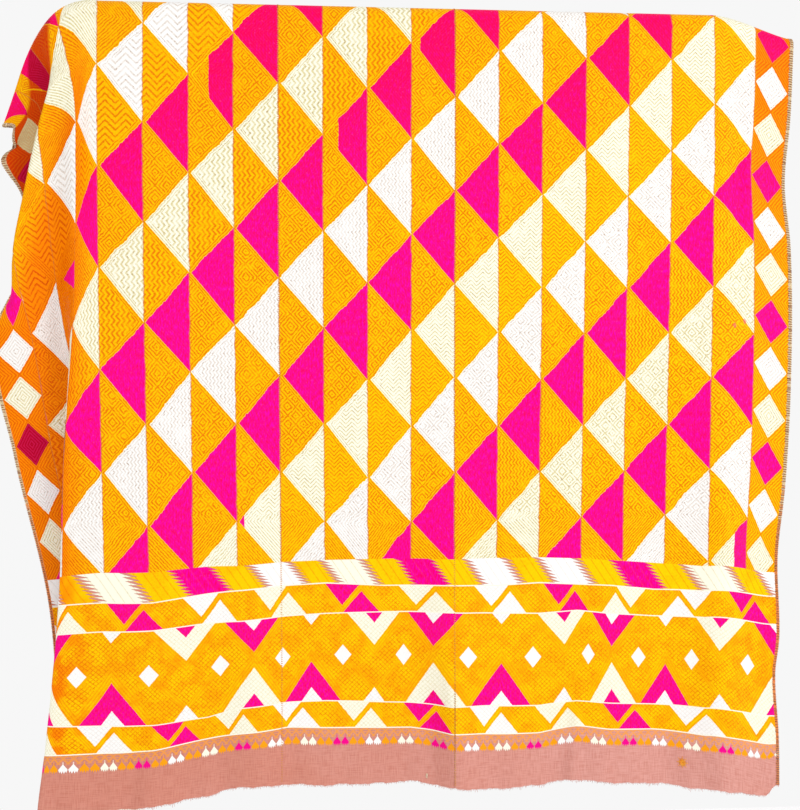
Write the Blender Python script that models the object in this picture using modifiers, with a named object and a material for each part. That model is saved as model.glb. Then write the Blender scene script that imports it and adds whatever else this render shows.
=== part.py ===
"""Phulkari shawl hung over a plain round wooden rail.

Metres, +Z up, +X to the viewer's right, the front of the shawl faces -Y. The origin is the middle of the
rail, where the whole thing is held. The shawl is three lengths of khaddar laid edge to edge. Each runs up
from the front hem, over the rail and down to the back hem. Past the ends of the rail nothing carries the
cloth: on the right it sags a little, and on the left it drops off and falls in two deep folds.

Places on the cloth are given as across, from its left edge, and down, the length from the fold over the
rail: more than 0 on the front drop and less than 0 on the back drop.
"""
import bisect
import math
from collections import namedtuple

import bmesh
import bpy

# The cloth as cut.
COLUMN = 0.066          # one column of the pattern
BORDER = 0.060          # side border
COLUMNS_LEFT = 7        # columns on each length of khaddar
COLUMNS_CENTRE = 4
COLUMNS_RIGHT = 7
SEAM_LEFT = BORDER + COLUMNS_LEFT * COLUMN
SEAM_RIGHT = SEAM_LEFT + COLUMNS_CENTRE * COLUMN
CLOTH_WIDTH = SEAM_RIGHT + COLUMNS_RIGHT * COLUMN + BORDER
FRONT_DROP = 1.172      # from the fold over the rail to the front hem
BACK_DROP = 1.140
CLOTH = 0.002           # wall: khaddar with floss silk laid over it
SEAM_GAP = 0.0003

# The rail.
RAIL_RADIUS = 0.020
RAIL_LENGTH = 0.890
RAIL_X = 0.010          # middle of the rail's length, seen from the middle of its hold
RAIL_EDGE = 0.002
RAIL_SIDES = 40

# How the cloth lies over the rail.
REST_GAP = 0.0003
WRAP_STEPS = 10         # flats round the half turn over the rail
HANG = (RAIL_RADIUS + REST_GAP + CLOTH / 2) / math.cos(math.pi / 2 / WRAP_STEPS)
WRAP = HANG * math.pi / 2
LEFT_END = BORDER + 3 * COLUMN              # the cloth leaves the rail here
RIGHT_END = CLOTH_WIDTH - BORDER - COLUMN
LEFT_END_X = -0.447
GATHER = 0.037          # the hem draws in by this share of the width
GATHER_X = -0.020       # towards here
GATHER_START = 0.1      # below this length down
SIDE_SAG = 0.017        # the right edge's sag at the fold, and at the hem
HEM_SAG = 0.012
SAG_CURVE = 1.4         # the sag grows faster towards the edge
SAGGED_RADIUS = 0.6     # the fold is this much tighter at the right edge
LEFT_DROOP = 0.012      # the front hangs lower by this much above the left end of the rail
LEFT_DROOP_WIDTH = 0.20
LEFT_LEAN = 0.020       # there the front also comes forward by this much
LEFT_LEAN_WIDTH = 0.30
LEFT_LEAN_FALL = 0.62

# Soft folds of a drop: across is the fold's middle at the hem, lean moves it by the fold's top.
Fold = namedtuple("Fold", "across width out start lean")
FRONT_FOLDS = (
    Fold(0.330, 0.050, 0.012, 0.45, 0.02),
    Fold(0.480, 0.045, 0.016, 0.60, 0.00),
    Fold(0.790, 0.042, 0.024, 0.50, 0.00),
    Fold(0.870, 0.035, 0.006, 0.30, -0.03),
    Fold(1.020, 0.045, 0.013, 0.65, 0.03),
    Fold(1.215, 0.045, 0.026, 0.15, -0.02),
)
BACK_FOLDS = (
    Fold(0.370, 0.050, 0.022, 0.40, 0.03),
    Fold(0.560, 0.040, 0.014, 0.55, -0.02),
    Fold(0.800, 0.055, 0.024, 0.35, 0.02),
    Fold(1.010, 0.040, 0.013, 0.50, -0.03),
    Fold(1.200, 0.050, 0.024, 0.20, 0.01),
)

# The right edge swings in and out as it falls.
Swing = namedtuple("Swing", "down inward")
RIGHT_EDGE = (
    Swing(0.00, 0.000), Swing(0.13, 0.006), Swing(0.23, 0.014), Swing(0.33, 0.003),
    Swing(0.56, -0.003), Swing(0.70, 0.001), Swing(0.80, 0.009), Swing(0.93, 0.003),
    Swing(0.98, 0.008), Swing(1.08, 0.001), Swing(1.19, 0.000),
)

# The fold over the rail, past the rail's left end: it drops off to the cloth's left corner.
Ridge = namedtuple("Ridge", "across x drop")
LEFT_RIDGE = (
    Ridge(0.000, -0.584, 0.165),
    Ridge(0.050, -0.569, 0.121),
    Ridge(0.100, -0.554, 0.073),
    Ridge(0.140, -0.538, 0.037),
    Ridge(0.190, -0.510, -0.002),
    Ridge(0.225, -0.482, -0.018),
)

# The cloth past the rail's left end hangs in these creases, named from the rail outwards. Each row is one
# length down the cloth. A crease's across is where it lies on the cloth; x, out and drop place it.
Crease = namedtuple("Crease", "across x out drop")
Hang = namedtuple("Hang", "down ridge valley cascade trough edge")
LEFT_HANGS = (
    Hang(0.07, Crease(0.200, -0.484, 0.036, 0.056), Crease(0.182, -0.498, 0.038, 0.070),
         Crease(0.163, -0.512, 0.038, 0.088), Crease(0.115, -0.509, 0.012, 0.106),
         Crease(0.000, -0.567, 0.009, 0.168)),
    Hang(0.15, Crease(0.191, -0.476, 0.052, 0.136), Crease(0.160, -0.500, 0.044, 0.150),
         Crease(0.127, -0.529, 0.050, 0.172), Crease(0.075, -0.515, 0.016, 0.186),
         Crease(0.000, -0.575, 0.009, 0.206)),
    Hang(0.24, Crease(0.190, -0.474, 0.058, 0.226), Crease(0.140, -0.509, 0.034, 0.242),
         Crease(0.084, -0.551, 0.042, 0.264), Crease(0.042, -0.531, 0.014, 0.276),
         Crease(0.000, -0.556, 0.009, 0.282)),
    Hang(0.34, Crease(0.188, -0.476, 0.058, 0.326), Crease(0.130, -0.508, 0.024, 0.342),
         Crease(0.050, -0.568, 0.034, 0.361), Crease(0.025, -0.558, 0.015, 0.366),
         Crease(0.000, -0.551, 0.009, 0.370)),
    Hang(0.45, Crease(0.186, -0.480, 0.055, 0.436), Crease(0.128, -0.495, 0.013, 0.449),
         Crease(0.040, -0.559, 0.024, 0.467), Crease(0.020, -0.576, 0.024, 0.470),
         Crease(0.000, -0.595, 0.022, 0.471)),
    Hang(0.64, Crease(0.181, -0.494, 0.045, 0.626), Crease(0.131, -0.454, 0.017, 0.632),
         Crease(0.040, -0.533, 0.010, 0.640), Crease(0.020, -0.550, 0.010, 0.643),
         Crease(0.000, -0.567, 0.010, 0.646)),
    Hang(0.88, Crease(0.176, -0.502, 0.041, 0.864), Crease(0.097, -0.443, 0.016, 0.866),
         Crease(0.045, -0.478, 0.010, 0.868), Crease(0.022, -0.497, 0.009, 0.869),
         Crease(0.000, -0.516, 0.009, 0.870)),
    Hang(1.19, Crease(0.155, -0.531, 0.043, 1.168), Crease(0.085, -0.446, 0.017, 1.166),
         Crease(0.045, -0.472, 0.010, 1.165), Crease(0.022, -0.487, 0.009, 1.165),
         Crease(0.000, -0.501, 0.009, 1.165)),
)
BACK_TUCK = 0.018       # the back drop's left folds lie this much further in
BACK_TUCK_FALL = 0.60
ROUNDING = 0.014        # the cloth takes no fold sharper than this reach across it gives

# How closely the solids follow the cloth.
LEFT_STEP = 0.0165      # across, past the rail's left end
PANEL_STEP = 0.036
OVERHANG_STEP = 0.031   # across, past the rail's right end
UPPER_STEP = 0.040      # down, in the upper part of a drop
LOWER_STEP = 0.062
UPPER_PART = 0.48
SEAM_STEP = 0.004       # a narrow first row beside a seam, so that both edges there face the same way


def ease(t):
    """Rises smoothly from 0 to 1."""
    t = min(max(t, 0.0), 1.0)
    return t * t * (3 - 2 * t)


def curve_at(places, values, place):
    """Value at a place on the smooth curve through the values, which runs straight on past its ends."""
    i = min(max(bisect.bisect_right(places, place) - 1, 0), len(places) - 2)
    span = places[i + 1] - places[i]
    chords = [(values[j + 1] - values[j]) / (places[j + 1] - places[j])
              for j in range(max(i - 1, 0), min(i + 2, len(places) - 1))]
    middle = (values[i + 1] - values[i]) / span
    before = (chords[0] + middle) / 2
    after = (chords[-1] + middle) / 2
    t = (place - places[i]) / span
    if t < 0:
        return values[i] + before * (place - places[i])
    if t > 1:
        return values[i + 1] + after * (place - places[i + 1])
    rise = values[i + 1] - values[i]
    return (values[i] + span * before * t + (3 * rise - span * (2 * before + after)) * t ** 2
            + (span * (before + after) - 2 * rise) * t ** 3)


def panel_point(across, down):
    """Place of a point of the cloth that the rail carries, or of the right overhang."""
    length = abs(down)
    fall = ease((length - GATHER_START) / (FRONT_DROP - GATHER_START))
    near_left = (across - LEFT_END) / LEFT_LEAN_WIDTH
    past_right = max(across - RIGHT_END, 0.0) / (CLOTH_WIDTH - RIGHT_END)
    radius = HANG * (1 - (1 - SAGGED_RADIUS) * ease(past_right))
    wrap = radius * math.pi / 2
    turn = min(length, wrap) / radius
    out = radius * math.sin(turn)
    drop = -radius * math.cos(turn) + max(length - wrap, 0.0) + HANG - radius

    flat_x = LEFT_END_X + across - LEFT_END
    x = flat_x + (GATHER_X - flat_x) * GATHER * fall
    folds = FRONT_FOLDS if down > 0 else BACK_FOLDS
    for fold in folds:
        depth = fold.out * ease((length - fold.start) / (FRONT_DROP - fold.start))
        middle = fold.across + fold.lean * (1 - length / FRONT_DROP)
        out += depth * math.exp(-((across - middle) / fold.width) ** 2)
    out += LEFT_LEAN * ease((length - wrap) / LEFT_LEAN_FALL) * (1 - ease(near_left))

    swing = curve_at([row.down for row in RIGHT_EDGE], [row.inward for row in RIGHT_EDGE], length)
    x -= swing * past_right
    drop += (SIDE_SAG + (HEM_SAG - SIDE_SAG) * fall) * past_right ** SAG_CURVE
    drop += LEFT_DROOP * fall * (1 - ease((across - LEFT_END) / LEFT_DROOP_WIDTH))
    return x, out, drop


def ridge_point(across):
    """Place of the fold that drops off the rail's left end."""
    rows = LEFT_RIDGE
    places = [row.across for row in rows] + [LEFT_END, LEFT_END + COLUMN]
    starts = [panel_point(LEFT_END, 0.0), panel_point(LEFT_END + COLUMN, 0.0)]
    x = curve_at(places, [row.x for row in rows] + [start[0] for start in starts], across)
    drop = curve_at(places, [row.drop for row in rows] + [start[2] for start in starts], across)
    return x, 0.0, drop


def creased_point(across, down):
    """Place of a point past the rail's left end, on the smooth surface through the creases."""
    length = abs(down)
    downs = [0.0] + [row.down for row in LEFT_HANGS]
    knots = []
    first = LEFT_HANGS[0]
    for name in ("edge", "trough", "cascade", "valley", "ridge"):
        creases = [getattr(row, name) for row in LEFT_HANGS]
        top = ridge_point(getattr(first, name).across)
        acrosses = [creases[0].across] + [crease.across for crease in creases]
        xs = [top[0]] + [crease.x for crease in creases]
        outs = [top[1]] + [crease.out for crease in creases]
        drops = [top[2]] + [crease.drop for crease in creases]
        knots.append([curve_at(downs, values, length) for values in (acrosses, xs, outs, drops)])
    for inner in (LEFT_END, LEFT_END + COLUMN):
        knots.append([inner, *panel_point(inner, down)])
    places = [knot[0] for knot in knots]
    x, out, drop = [curve_at(places, [knot[i] for knot in knots], across) for i in (1, 2, 3)]
    blend = ease(length / first.down)
    top = ridge_point(across)
    x = top[0] + (x - top[0]) * blend
    drop = top[2] + (drop - top[2]) * blend
    if down < 0:
        x += BACK_TUCK * ease(length / BACK_TUCK_FALL) * (1 - across / LEFT_END)
    return x, out, drop


def overhang_point(across, down):
    """Place of a point past the rail's left end, with the folds rounded."""
    reach = min(ROUNDING, across, LEFT_END - across)
    before, here, after = (creased_point(across + shift, down) for shift in (-reach, 0.0, reach))
    return tuple((a + 2 * b + c) / 4 for a, b, c in zip(before, here, after))


def cloth_point(across, down):
    """Place of the middle of the cloth's wall."""
    if across < LEFT_END:
        x, out, drop = overhang_point(across, down)
    else:
        x, out, drop = panel_point(across, down)
    side = 1 if down < 0 else -1
    return x, side * out, -drop


def steps(start, end, step):
    """Even places from start to end, about a step apart, without the last."""
    count = max(1, round(abs(end - start) / step))
    return [start + (end - start) * i / count for i in range(count)]


def downs_of(drop):
    """Lengths down one drop at which the cloth has a row of points, below the rail."""
    return steps(WRAP, UPPER_PART, UPPER_STEP) + steps(UPPER_PART, drop, LOWER_STEP) + [drop]


def shawl_material(name, colour):
    material = bpy.data.materials.new(name)
    material.use_nodes = True
    shader = material.node_tree.nodes["Principled BSDF"]
    shader.inputs["Base Color"].default_value = (*colour, 1.0)
    shader.inputs["Roughness"].default_value = 0.55
    shader.inputs["Metallic"].default_value = 0.0
    return material


def add_strip(name, start, end, breaks, colour):
    """One length of khaddar: an open sheet over the rail, given its wall by Solidify."""
    places = []
    for low, high, step in breaks:
        low, high = max(low, start), min(high, end)
        if low < high:
            places += steps(low, high, step)
    places.append(end)
    if start > 0:
        places.insert(1, start + SEAM_STEP)
    if end < CLOTH_WIDTH:
        places.insert(-1, end - SEAM_STEP)
    over_rail = [WRAP * (2 * i / WRAP_STEPS - 1) for i in range(1, WRAP_STEPS)]
    downs = [-down for down in reversed(downs_of(BACK_DROP))] + over_rail + downs_of(FRONT_DROP)

    sheet = bmesh.new()
    grid = [[sheet.verts.new(cloth_point(across, down)) for across in places] for down in downs]
    for row, next_row in zip(grid, grid[1:]):
        for i in range(len(places) - 1):
            sheet.faces.new((row[i], next_row[i], next_row[i + 1], row[i + 1]))
    mesh = bpy.data.meshes.new(name)
    sheet.to_mesh(mesh)
    sheet.free()
    mesh.shade_smooth()
    mesh.materials.append(shawl_material(name + "_silk", colour))
    strip = bpy.data.objects.new(name, mesh)
    shawl.objects.link(strip)
    wall = strip.modifiers.new("wall", "SOLIDIFY")
    wall.thickness = CLOTH
    wall.offset = 0.0
    return strip


def add_rail():
    """A plain turned rail along X."""
    bpy.ops.mesh.primitive_cylinder_add(
        vertices=RAIL_SIDES, radius=RAIL_RADIUS, depth=RAIL_LENGTH,
        location=(RAIL_X, 0.0, 0.0), rotation=(0.0, math.pi / 2, 0.0))
    rail = bpy.context.object
    rail.name = "rail"
    for collection in rail.users_collection:
        collection.objects.unlink(rail)
    shawl.objects.link(rail)
    edges = rail.modifiers.new("rounded_ends", "BEVEL")
    edges.width = RAIL_EDGE
    edges.segments = 1
    edges.limit_method = "ANGLE"
    rail.data.materials.append(shawl_material("rail_wood", (0.42, 0.27, 0.15)))
    return rail


for thing in list(bpy.data.objects):
    bpy.data.objects.remove(thing, do_unlink=True)

shawl = bpy.data.collections.new("phulkari_shawl_on_rail")
bpy.context.scene.collection.children.link(shawl)

BREAKS = (
    (0.0, LEFT_END, LEFT_STEP),
    (LEFT_END, RIGHT_END, PANEL_STEP),
    (RIGHT_END, CLOTH_WIDTH, OVERHANG_STEP),
)
add_strip("strip_left", 0.0, SEAM_LEFT - SEAM_GAP / 2, BREAKS, (0.95, 0.45, 0.02))
add_strip("strip_centre", SEAM_LEFT + SEAM_GAP / 2, SEAM_RIGHT - SEAM_GAP / 2, BREAKS, (0.90, 0.40, 0.03))
add_strip("strip_right", SEAM_RIGHT + SEAM_GAP / 2, CLOTH_WIDTH, BREAKS, (0.95, 0.47, 0.02))
add_rail()
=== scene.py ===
"""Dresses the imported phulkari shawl: the rail, three embroidered lengths of khaddar, their seams, edge
stitches and raw hems, in a plain pale studio."""

import bisect
import functools
import math
import random
from collections import namedtuple

import bpy
import numpy as np
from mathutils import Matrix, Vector


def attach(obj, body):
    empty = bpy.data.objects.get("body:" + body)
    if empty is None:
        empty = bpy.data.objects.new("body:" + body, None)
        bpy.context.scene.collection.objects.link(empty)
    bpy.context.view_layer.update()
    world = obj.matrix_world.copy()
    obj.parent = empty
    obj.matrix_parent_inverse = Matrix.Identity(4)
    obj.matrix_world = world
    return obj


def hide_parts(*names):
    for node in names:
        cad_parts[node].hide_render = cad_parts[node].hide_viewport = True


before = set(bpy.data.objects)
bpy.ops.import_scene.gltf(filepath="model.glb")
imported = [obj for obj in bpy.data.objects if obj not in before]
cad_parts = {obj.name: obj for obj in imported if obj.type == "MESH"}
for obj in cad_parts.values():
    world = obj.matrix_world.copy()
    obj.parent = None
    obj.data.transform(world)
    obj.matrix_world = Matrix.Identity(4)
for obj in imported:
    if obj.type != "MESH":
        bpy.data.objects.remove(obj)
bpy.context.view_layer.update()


# ---------------------------------------------------------------------------------------------------------
# The rail: a plain round bar of softwood, turned and left bare. The shawl's fold rests on it and hides it,
# so only its ends show, from the sides, inside the fold.

RAIL_RADIUS = 0.020
LIGHT_LEVEL = 1.17          # how bright the studio is where the shawl faces the front


class Reading:
    """A number that a finish works out at each point of a piece, used like an ordinary number."""

    def __init__(self, tree, socket):
        self.tree = tree
        self.socket = socket

    def work(self, operation, *others):
        """The reading that the operation makes of this one and the others."""
        node = self.tree.nodes.new("ShaderNodeMath")
        node.operation = operation
        for value, socket in zip((self, *others), node.inputs):
            feed(self.tree, value, socket)
        return Reading(self.tree, node.outputs[0])

    def __rsub__(self, other):
        return self.work("MULTIPLY", -1.0).work("ADD", other)

    def held(self):
        """Kept between 0 and 1."""
        return self.most(0.0).least(1.0)

    def rise(self, low, high):
        """Goes smoothly from 0 at low to 1 at high."""
        node = self.tree.nodes.new("ShaderNodeMapRange")
        node.interpolation_type = "SMOOTHSTEP"
        node.inputs["From Min"].default_value = low
        node.inputs["From Max"].default_value = high
        self.tree.links.new(self.socket, node.inputs["Value"])
        return Reading(self.tree, node.outputs["Result"])


# What can be asked of a reading, and the operation that works it out.
OPERATIONS = {
    "__add__": "ADD", "__radd__": "ADD", "__sub__": "SUBTRACT", "__mul__": "MULTIPLY",
    "__rmul__": "MULTIPLY", "__truediv__": "DIVIDE", "__lt__": "LESS_THAN", "__gt__": "GREATER_THAN",
    "__abs__": "ABSOLUTE", "floor": "FLOOR", "fraction": "FRACT", "least": "MINIMUM", "most": "MAXIMUM",
}
for method, operation in OPERATIONS.items():
    setattr(Reading, method, functools.partialmethod(Reading.work, operation))


def feed(tree, value, socket):
    """Gives a socket a reading, the output of another node, or a plain value."""
    if isinstance(value, Reading):
        value = value.socket
    if isinstance(value, bpy.types.NodeSocket):
        tree.links.new(value, socket)
    else:
        socket.default_value = value


def spot(tree, x, y, z=0.0):
    """The place made of three readings or numbers, for a noise to read."""
    node = tree.nodes.new("ShaderNodeCombineXYZ")
    for value, socket in zip((x, y, z), node.inputs):
        feed(tree, value, socket)
    return node.outputs[0]


def parts_of(tree, place):
    """The three numbers of a place."""
    node = tree.nodes.new("ShaderNodeSeparateXYZ")
    tree.links.new(place, node.inputs[0])
    return [Reading(tree, socket) for socket in node.outputs]


def mottle(tree, place, size, detail=2.0):
    """Soft uneven patches of about that size in metres, from 0 to 1 round 0.5."""
    node = tree.nodes.new("ShaderNodeTexNoise")
    node.inputs["Scale"].default_value = 1.0 / size
    node.inputs["Detail"].default_value = detail
    tree.links.new(place, node.inputs["Vector"])
    return Reading(tree, node.outputs["Fac"])


def dye(red, green, blue):
    """The share of light that a colour gives back, from how it looks in the studio, 0 to 255 each."""
    seen = [value / 255 for value in (red, green, blue)]
    light = [v / 12.92 if v <= 0.04045 else ((v + 0.055) / 1.055) ** 2.4 for v in seen]
    return (*(value / LIGHT_LEVEL for value in light), 1.0)


# Where a Mix node keeps the sockets that it uses for colours.
MIX_SHARE = 0
MIX_FIRST = 6
MIX_SECOND = 7
MIX_RESULT = 2


def mix(tree, share, first, second):
    """The first colour, giving way to the second where the share is 1."""
    node = tree.nodes.new("ShaderNodeMix")
    node.data_type = "RGBA"
    for value, place in ((share, MIX_SHARE), (first, MIX_FIRST), (second, MIX_SECOND)):
        feed(tree, value, node.inputs[place])
    return node.outputs[MIX_RESULT]


def new_finish(name, sheen=0.0, specular=0.3):
    """An empty finish and its shader."""
    finish = bpy.data.materials.new(name)
    finish.use_nodes = True
    tree = finish.node_tree
    shader = tree.nodes["Principled BSDF"]
    shader.inputs["Specular IOR Level"].default_value = specular
    shader.inputs["Sheen Weight"].default_value = sheen
    shader.inputs["Sheen Roughness"].default_value = 0.4
    return finish, tree, shader


def wear(tree, shader, colour, roughness, height, depth):
    """Puts the colour, roughness and relief that were worked out onto the shader."""
    bump = tree.nodes.new("ShaderNodeBump")
    bump.inputs["Distance"].default_value = depth
    feed(tree, colour, shader.inputs["Base Color"])
    feed(tree, roughness, shader.inputs["Roughness"])
    feed(tree, height, bump.inputs["Height"])
    tree.links.new(bump.outputs["Normal"], shader.inputs["Normal"])


EARLY_WOOD = dye(188, 140, 92)
LATE_WOOD = dye(150, 100, 60)
PORE = dye(110, 70, 42)
RING_SIZE = 0.006
PORE_SIZE = 0.0012
WOOD_RELIEF = 0.0004


def bare_softwood():
    """Turned softwood: long rings and pores that run along the rail."""
    finish, tree, shader = new_finish("bare_softwood")
    x, y, z = parts_of(tree, tree.nodes.new("ShaderNodeTexCoord").outputs["Object"])
    rings = mottle(tree, spot(tree, x * 0.06, y, z), RING_SIZE, 3.0)
    pores = mottle(tree, spot(tree, x * 0.03, y, z), PORE_SIZE)
    grain = (rings * 7.0).fraction()
    colour = mix(tree, grain * 0.8, EARLY_WOOD, LATE_WOOD)
    colour = mix(tree, pores.rise(0.55, 0.75) * 0.6, colour, PORE)
    wear(tree, shader, colour, pores * 0.3 + 0.5, grain * 0.5 + pores, WOOD_RELIEF)
    return finish


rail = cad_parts["rail"]
rail.data.materials.clear()
rail.data.materials.append(bare_softwood())


# ---------------------------------------------------------------------------------------------------------
# The left strip: a 52 cm length of handspun terracotta khaddar, worked all over in floss silk. It runs from
# the front hem over the rail to the back hem. Past the rail's end it drops off and hangs in two deep folds.

COLUMN = 0.066
BORDER = 0.060
LEFT_OF_ZERO = 3            # columns of the pattern to the left of its line 0
SEAM_LEFT = BORDER + 7 * COLUMN
SEAM_RIGHT = SEAM_LEFT + 4 * COLUMN
CLOTH_WIDTH = SEAM_RIGHT + 7 * COLUMN + BORDER
FRONT_DROP = 1.172
BACK_DROP = 1.140
LENGTH = FRONT_DROP + BACK_DROP
WALL = 0.0016
SEAM_GAP = 0.00006

# The hang of the cloth over the rail, as in the solids, which wrap the rail in flats.
RAIL_GAP = 0.0003
SOLID_WALL = 0.002
HALF_FLAT = math.pi / 20
HANG = (RAIL_RADIUS + RAIL_GAP + SOLID_WALL / 2) / math.cos(HALF_FLAT)
WRAP = HANG * math.pi / 2
LEFT_END = BORDER + 3 * COLUMN
RIGHT_END = CLOTH_WIDTH - BORDER - COLUMN
LEFT_END_X = -0.447
GATHER = 0.037
GATHER_X = -0.020
GATHER_START = 0.1
SIDE_SAG = 0.017
HEM_SAG = 0.012
SAG_CURVE = 1.4
SAGGED_RADIUS = 0.6
LEFT_DROOP = 0.012
LEFT_DROOP_WIDTH = 0.20
LEFT_LEAN = 0.020
LEFT_LEAN_WIDTH = 0.30
LEFT_LEAN_FALL = 0.62

# The soft folds of each drop: where across the cloth, how wide, how far out at the hem, from what length
# down, and how far its top leans aside.
Fold = namedtuple("Fold", "across width out start lean")
FRONT_FOLDS = (
    Fold(0.330, 0.050, 0.012, 0.45, 0.02),
    Fold(0.480, 0.045, 0.016, 0.60, 0.00),
    Fold(0.790, 0.042, 0.024, 0.50, 0.00),
    Fold(0.870, 0.035, 0.006, 0.30, -0.03),
    Fold(1.020, 0.045, 0.013, 0.65, 0.03),
    Fold(1.215, 0.045, 0.026, 0.15, -0.02),
)
BACK_FOLDS = (
    Fold(0.370, 0.050, 0.022, 0.40, 0.03),
    Fold(0.560, 0.040, 0.014, 0.55, -0.02),
    Fold(0.800, 0.055, 0.024, 0.35, 0.02),
    Fold(1.010, 0.040, 0.013, 0.50, -0.03),
    Fold(1.200, 0.050, 0.024, 0.20, 0.01),
)

# How far the right edge swings inward, at lengths down.
Swing = namedtuple("Swing", "down inward")
RIGHT_EDGE = (
    Swing(0.00, 0.000), Swing(0.13, 0.006), Swing(0.23, 0.014), Swing(0.33, 0.003),
    Swing(0.56, -0.003), Swing(0.70, 0.001), Swing(0.80, 0.009), Swing(0.93, 0.003),
    Swing(0.98, 0.008), Swing(1.08, 0.001), Swing(1.19, 0.000),
)

# The fold that drops off the rail's left end: where each place across the cloth lies.
Ridge = namedtuple("Ridge", "across x drop")
LEFT_RIDGE = (
    Ridge(0.000, -0.584, 0.165),
    Ridge(0.050, -0.569, 0.121),
    Ridge(0.100, -0.554, 0.073),
    Ridge(0.140, -0.538, 0.037),
    Ridge(0.190, -0.510, -0.002),
    Ridge(0.225, -0.482, -0.018),
)

# The creases of the overhang, at lengths down: a ridge, the valley beside it, the cascade that falls in
# front, the trough behind that, and the edge. Each has a place across the cloth, and where that hangs.
Crease = namedtuple("Crease", "across x out drop")
Hang = namedtuple("Hang", "down ridge valley cascade trough edge")
LEFT_HANGS = (
    Hang(0.07, Crease(0.200, -0.484, 0.036, 0.056), Crease(0.182, -0.498, 0.038, 0.070),
         Crease(0.163, -0.512, 0.038, 0.088), Crease(0.115, -0.509, 0.012, 0.106),
         Crease(0.000, -0.567, 0.009, 0.168)),
    Hang(0.15, Crease(0.191, -0.476, 0.052, 0.136), Crease(0.160, -0.500, 0.044, 0.150),
         Crease(0.127, -0.529, 0.050, 0.172), Crease(0.075, -0.515, 0.016, 0.186),
         Crease(0.000, -0.575, 0.009, 0.206)),
    Hang(0.24, Crease(0.190, -0.474, 0.058, 0.226), Crease(0.140, -0.509, 0.034, 0.242),
         Crease(0.084, -0.551, 0.042, 0.264), Crease(0.042, -0.531, 0.014, 0.276),
         Crease(0.000, -0.556, 0.009, 0.282)),
    Hang(0.34, Crease(0.188, -0.476, 0.058, 0.326), Crease(0.130, -0.508, 0.024, 0.342),
         Crease(0.050, -0.568, 0.034, 0.361), Crease(0.025, -0.558, 0.015, 0.366),
         Crease(0.000, -0.551, 0.009, 0.370)),
    Hang(0.45, Crease(0.186, -0.480, 0.055, 0.436), Crease(0.128, -0.495, 0.013, 0.449),
         Crease(0.040, -0.559, 0.024, 0.467), Crease(0.020, -0.576, 0.024, 0.470),
         Crease(0.000, -0.595, 0.022, 0.471)),
    Hang(0.64, Crease(0.181, -0.494, 0.045, 0.626), Crease(0.131, -0.454, 0.017, 0.632),
         Crease(0.040, -0.533, 0.010, 0.640), Crease(0.020, -0.550, 0.010, 0.643),
         Crease(0.000, -0.567, 0.010, 0.646)),
    Hang(0.88, Crease(0.176, -0.502, 0.041, 0.864), Crease(0.097, -0.443, 0.016, 0.866),
         Crease(0.045, -0.478, 0.010, 0.868), Crease(0.022, -0.497, 0.009, 0.869),
         Crease(0.000, -0.516, 0.009, 0.870)),
    Hang(1.19, Crease(0.155, -0.531, 0.043, 1.168), Crease(0.085, -0.446, 0.017, 1.166),
         Crease(0.045, -0.472, 0.010, 1.165), Crease(0.022, -0.487, 0.009, 1.165),
         Crease(0.000, -0.501, 0.009, 1.165)),
)
BACK_TUCK = 0.018           # how far the overhang's back drop tucks inward
BACK_TUCK_FALL = 0.60
ROUNDING = 0.014            # how far the folds' turns are rounded, along the cloth


def ease(t):
    """Rises smoothly from 0 to 1."""
    t = min(max(t, 0.0), 1.0)
    return t * t * (3 - 2 * t)


def curve_at(places, values, place):
    """Value at a place on the smooth curve through the values, which runs straight on past its ends."""
    i = min(max(bisect.bisect_right(places, place) - 1, 0), len(places) - 2)
    span = places[i + 1] - places[i]
    chords = [(values[j + 1] - values[j]) / (places[j + 1] - places[j])
              for j in range(max(i - 1, 0), min(i + 2, len(places) - 1))]
    middle = (values[i + 1] - values[i]) / span
    before = (chords[0] + middle) / 2
    after = (chords[-1] + middle) / 2
    t = (place - places[i]) / span
    if t < 0:
        return values[i] + before * (place - places[i])
    if t > 1:
        return values[i + 1] + after * (place - places[i + 1])
    climb = values[i + 1] - values[i]
    return (values[i] + span * before * t + (3 * climb - span * (2 * before + after)) * t ** 2
            + (span * (before + after) - 2 * climb) * t ** 3)


def panel_point(across, down):
    """Place of a point of the cloth that the rail carries, or of the right overhang."""
    length = abs(down)
    fall = ease((length - GATHER_START) / (FRONT_DROP - GATHER_START))
    near_left = (across - LEFT_END) / LEFT_LEAN_WIDTH
    past_right = max(across - RIGHT_END, 0.0) / (CLOTH_WIDTH - RIGHT_END)
    radius = HANG * (1 - (1 - SAGGED_RADIUS) * ease(past_right))
    wrap = radius * math.pi / 2
    turn = min(length, wrap) / radius
    out = radius * math.sin(turn)
    drop = -radius * math.cos(turn) + max(length - wrap, 0.0) + HANG - radius

    flat_x = LEFT_END_X + across - LEFT_END
    x = flat_x + (GATHER_X - flat_x) * GATHER * fall
    folds = FRONT_FOLDS if down > 0 else BACK_FOLDS
    for fold in folds:
        depth = fold.out * ease((length - fold.start) / (FRONT_DROP - fold.start))
        middle = fold.across + fold.lean * (1 - length / FRONT_DROP)
        out += depth * math.exp(-((across - middle) / fold.width) ** 2)
    out += LEFT_LEAN * ease((length - wrap) / LEFT_LEAN_FALL) * (1 - ease(near_left))

    swing = curve_at([row.down for row in RIGHT_EDGE], [row.inward for row in RIGHT_EDGE], length)
    x -= swing * past_right
    drop += (SIDE_SAG + (HEM_SAG - SIDE_SAG) * fall) * past_right ** SAG_CURVE
    drop += LEFT_DROOP * fall * (1 - ease((across - LEFT_END) / LEFT_DROOP_WIDTH))
    return x, out, drop


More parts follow.
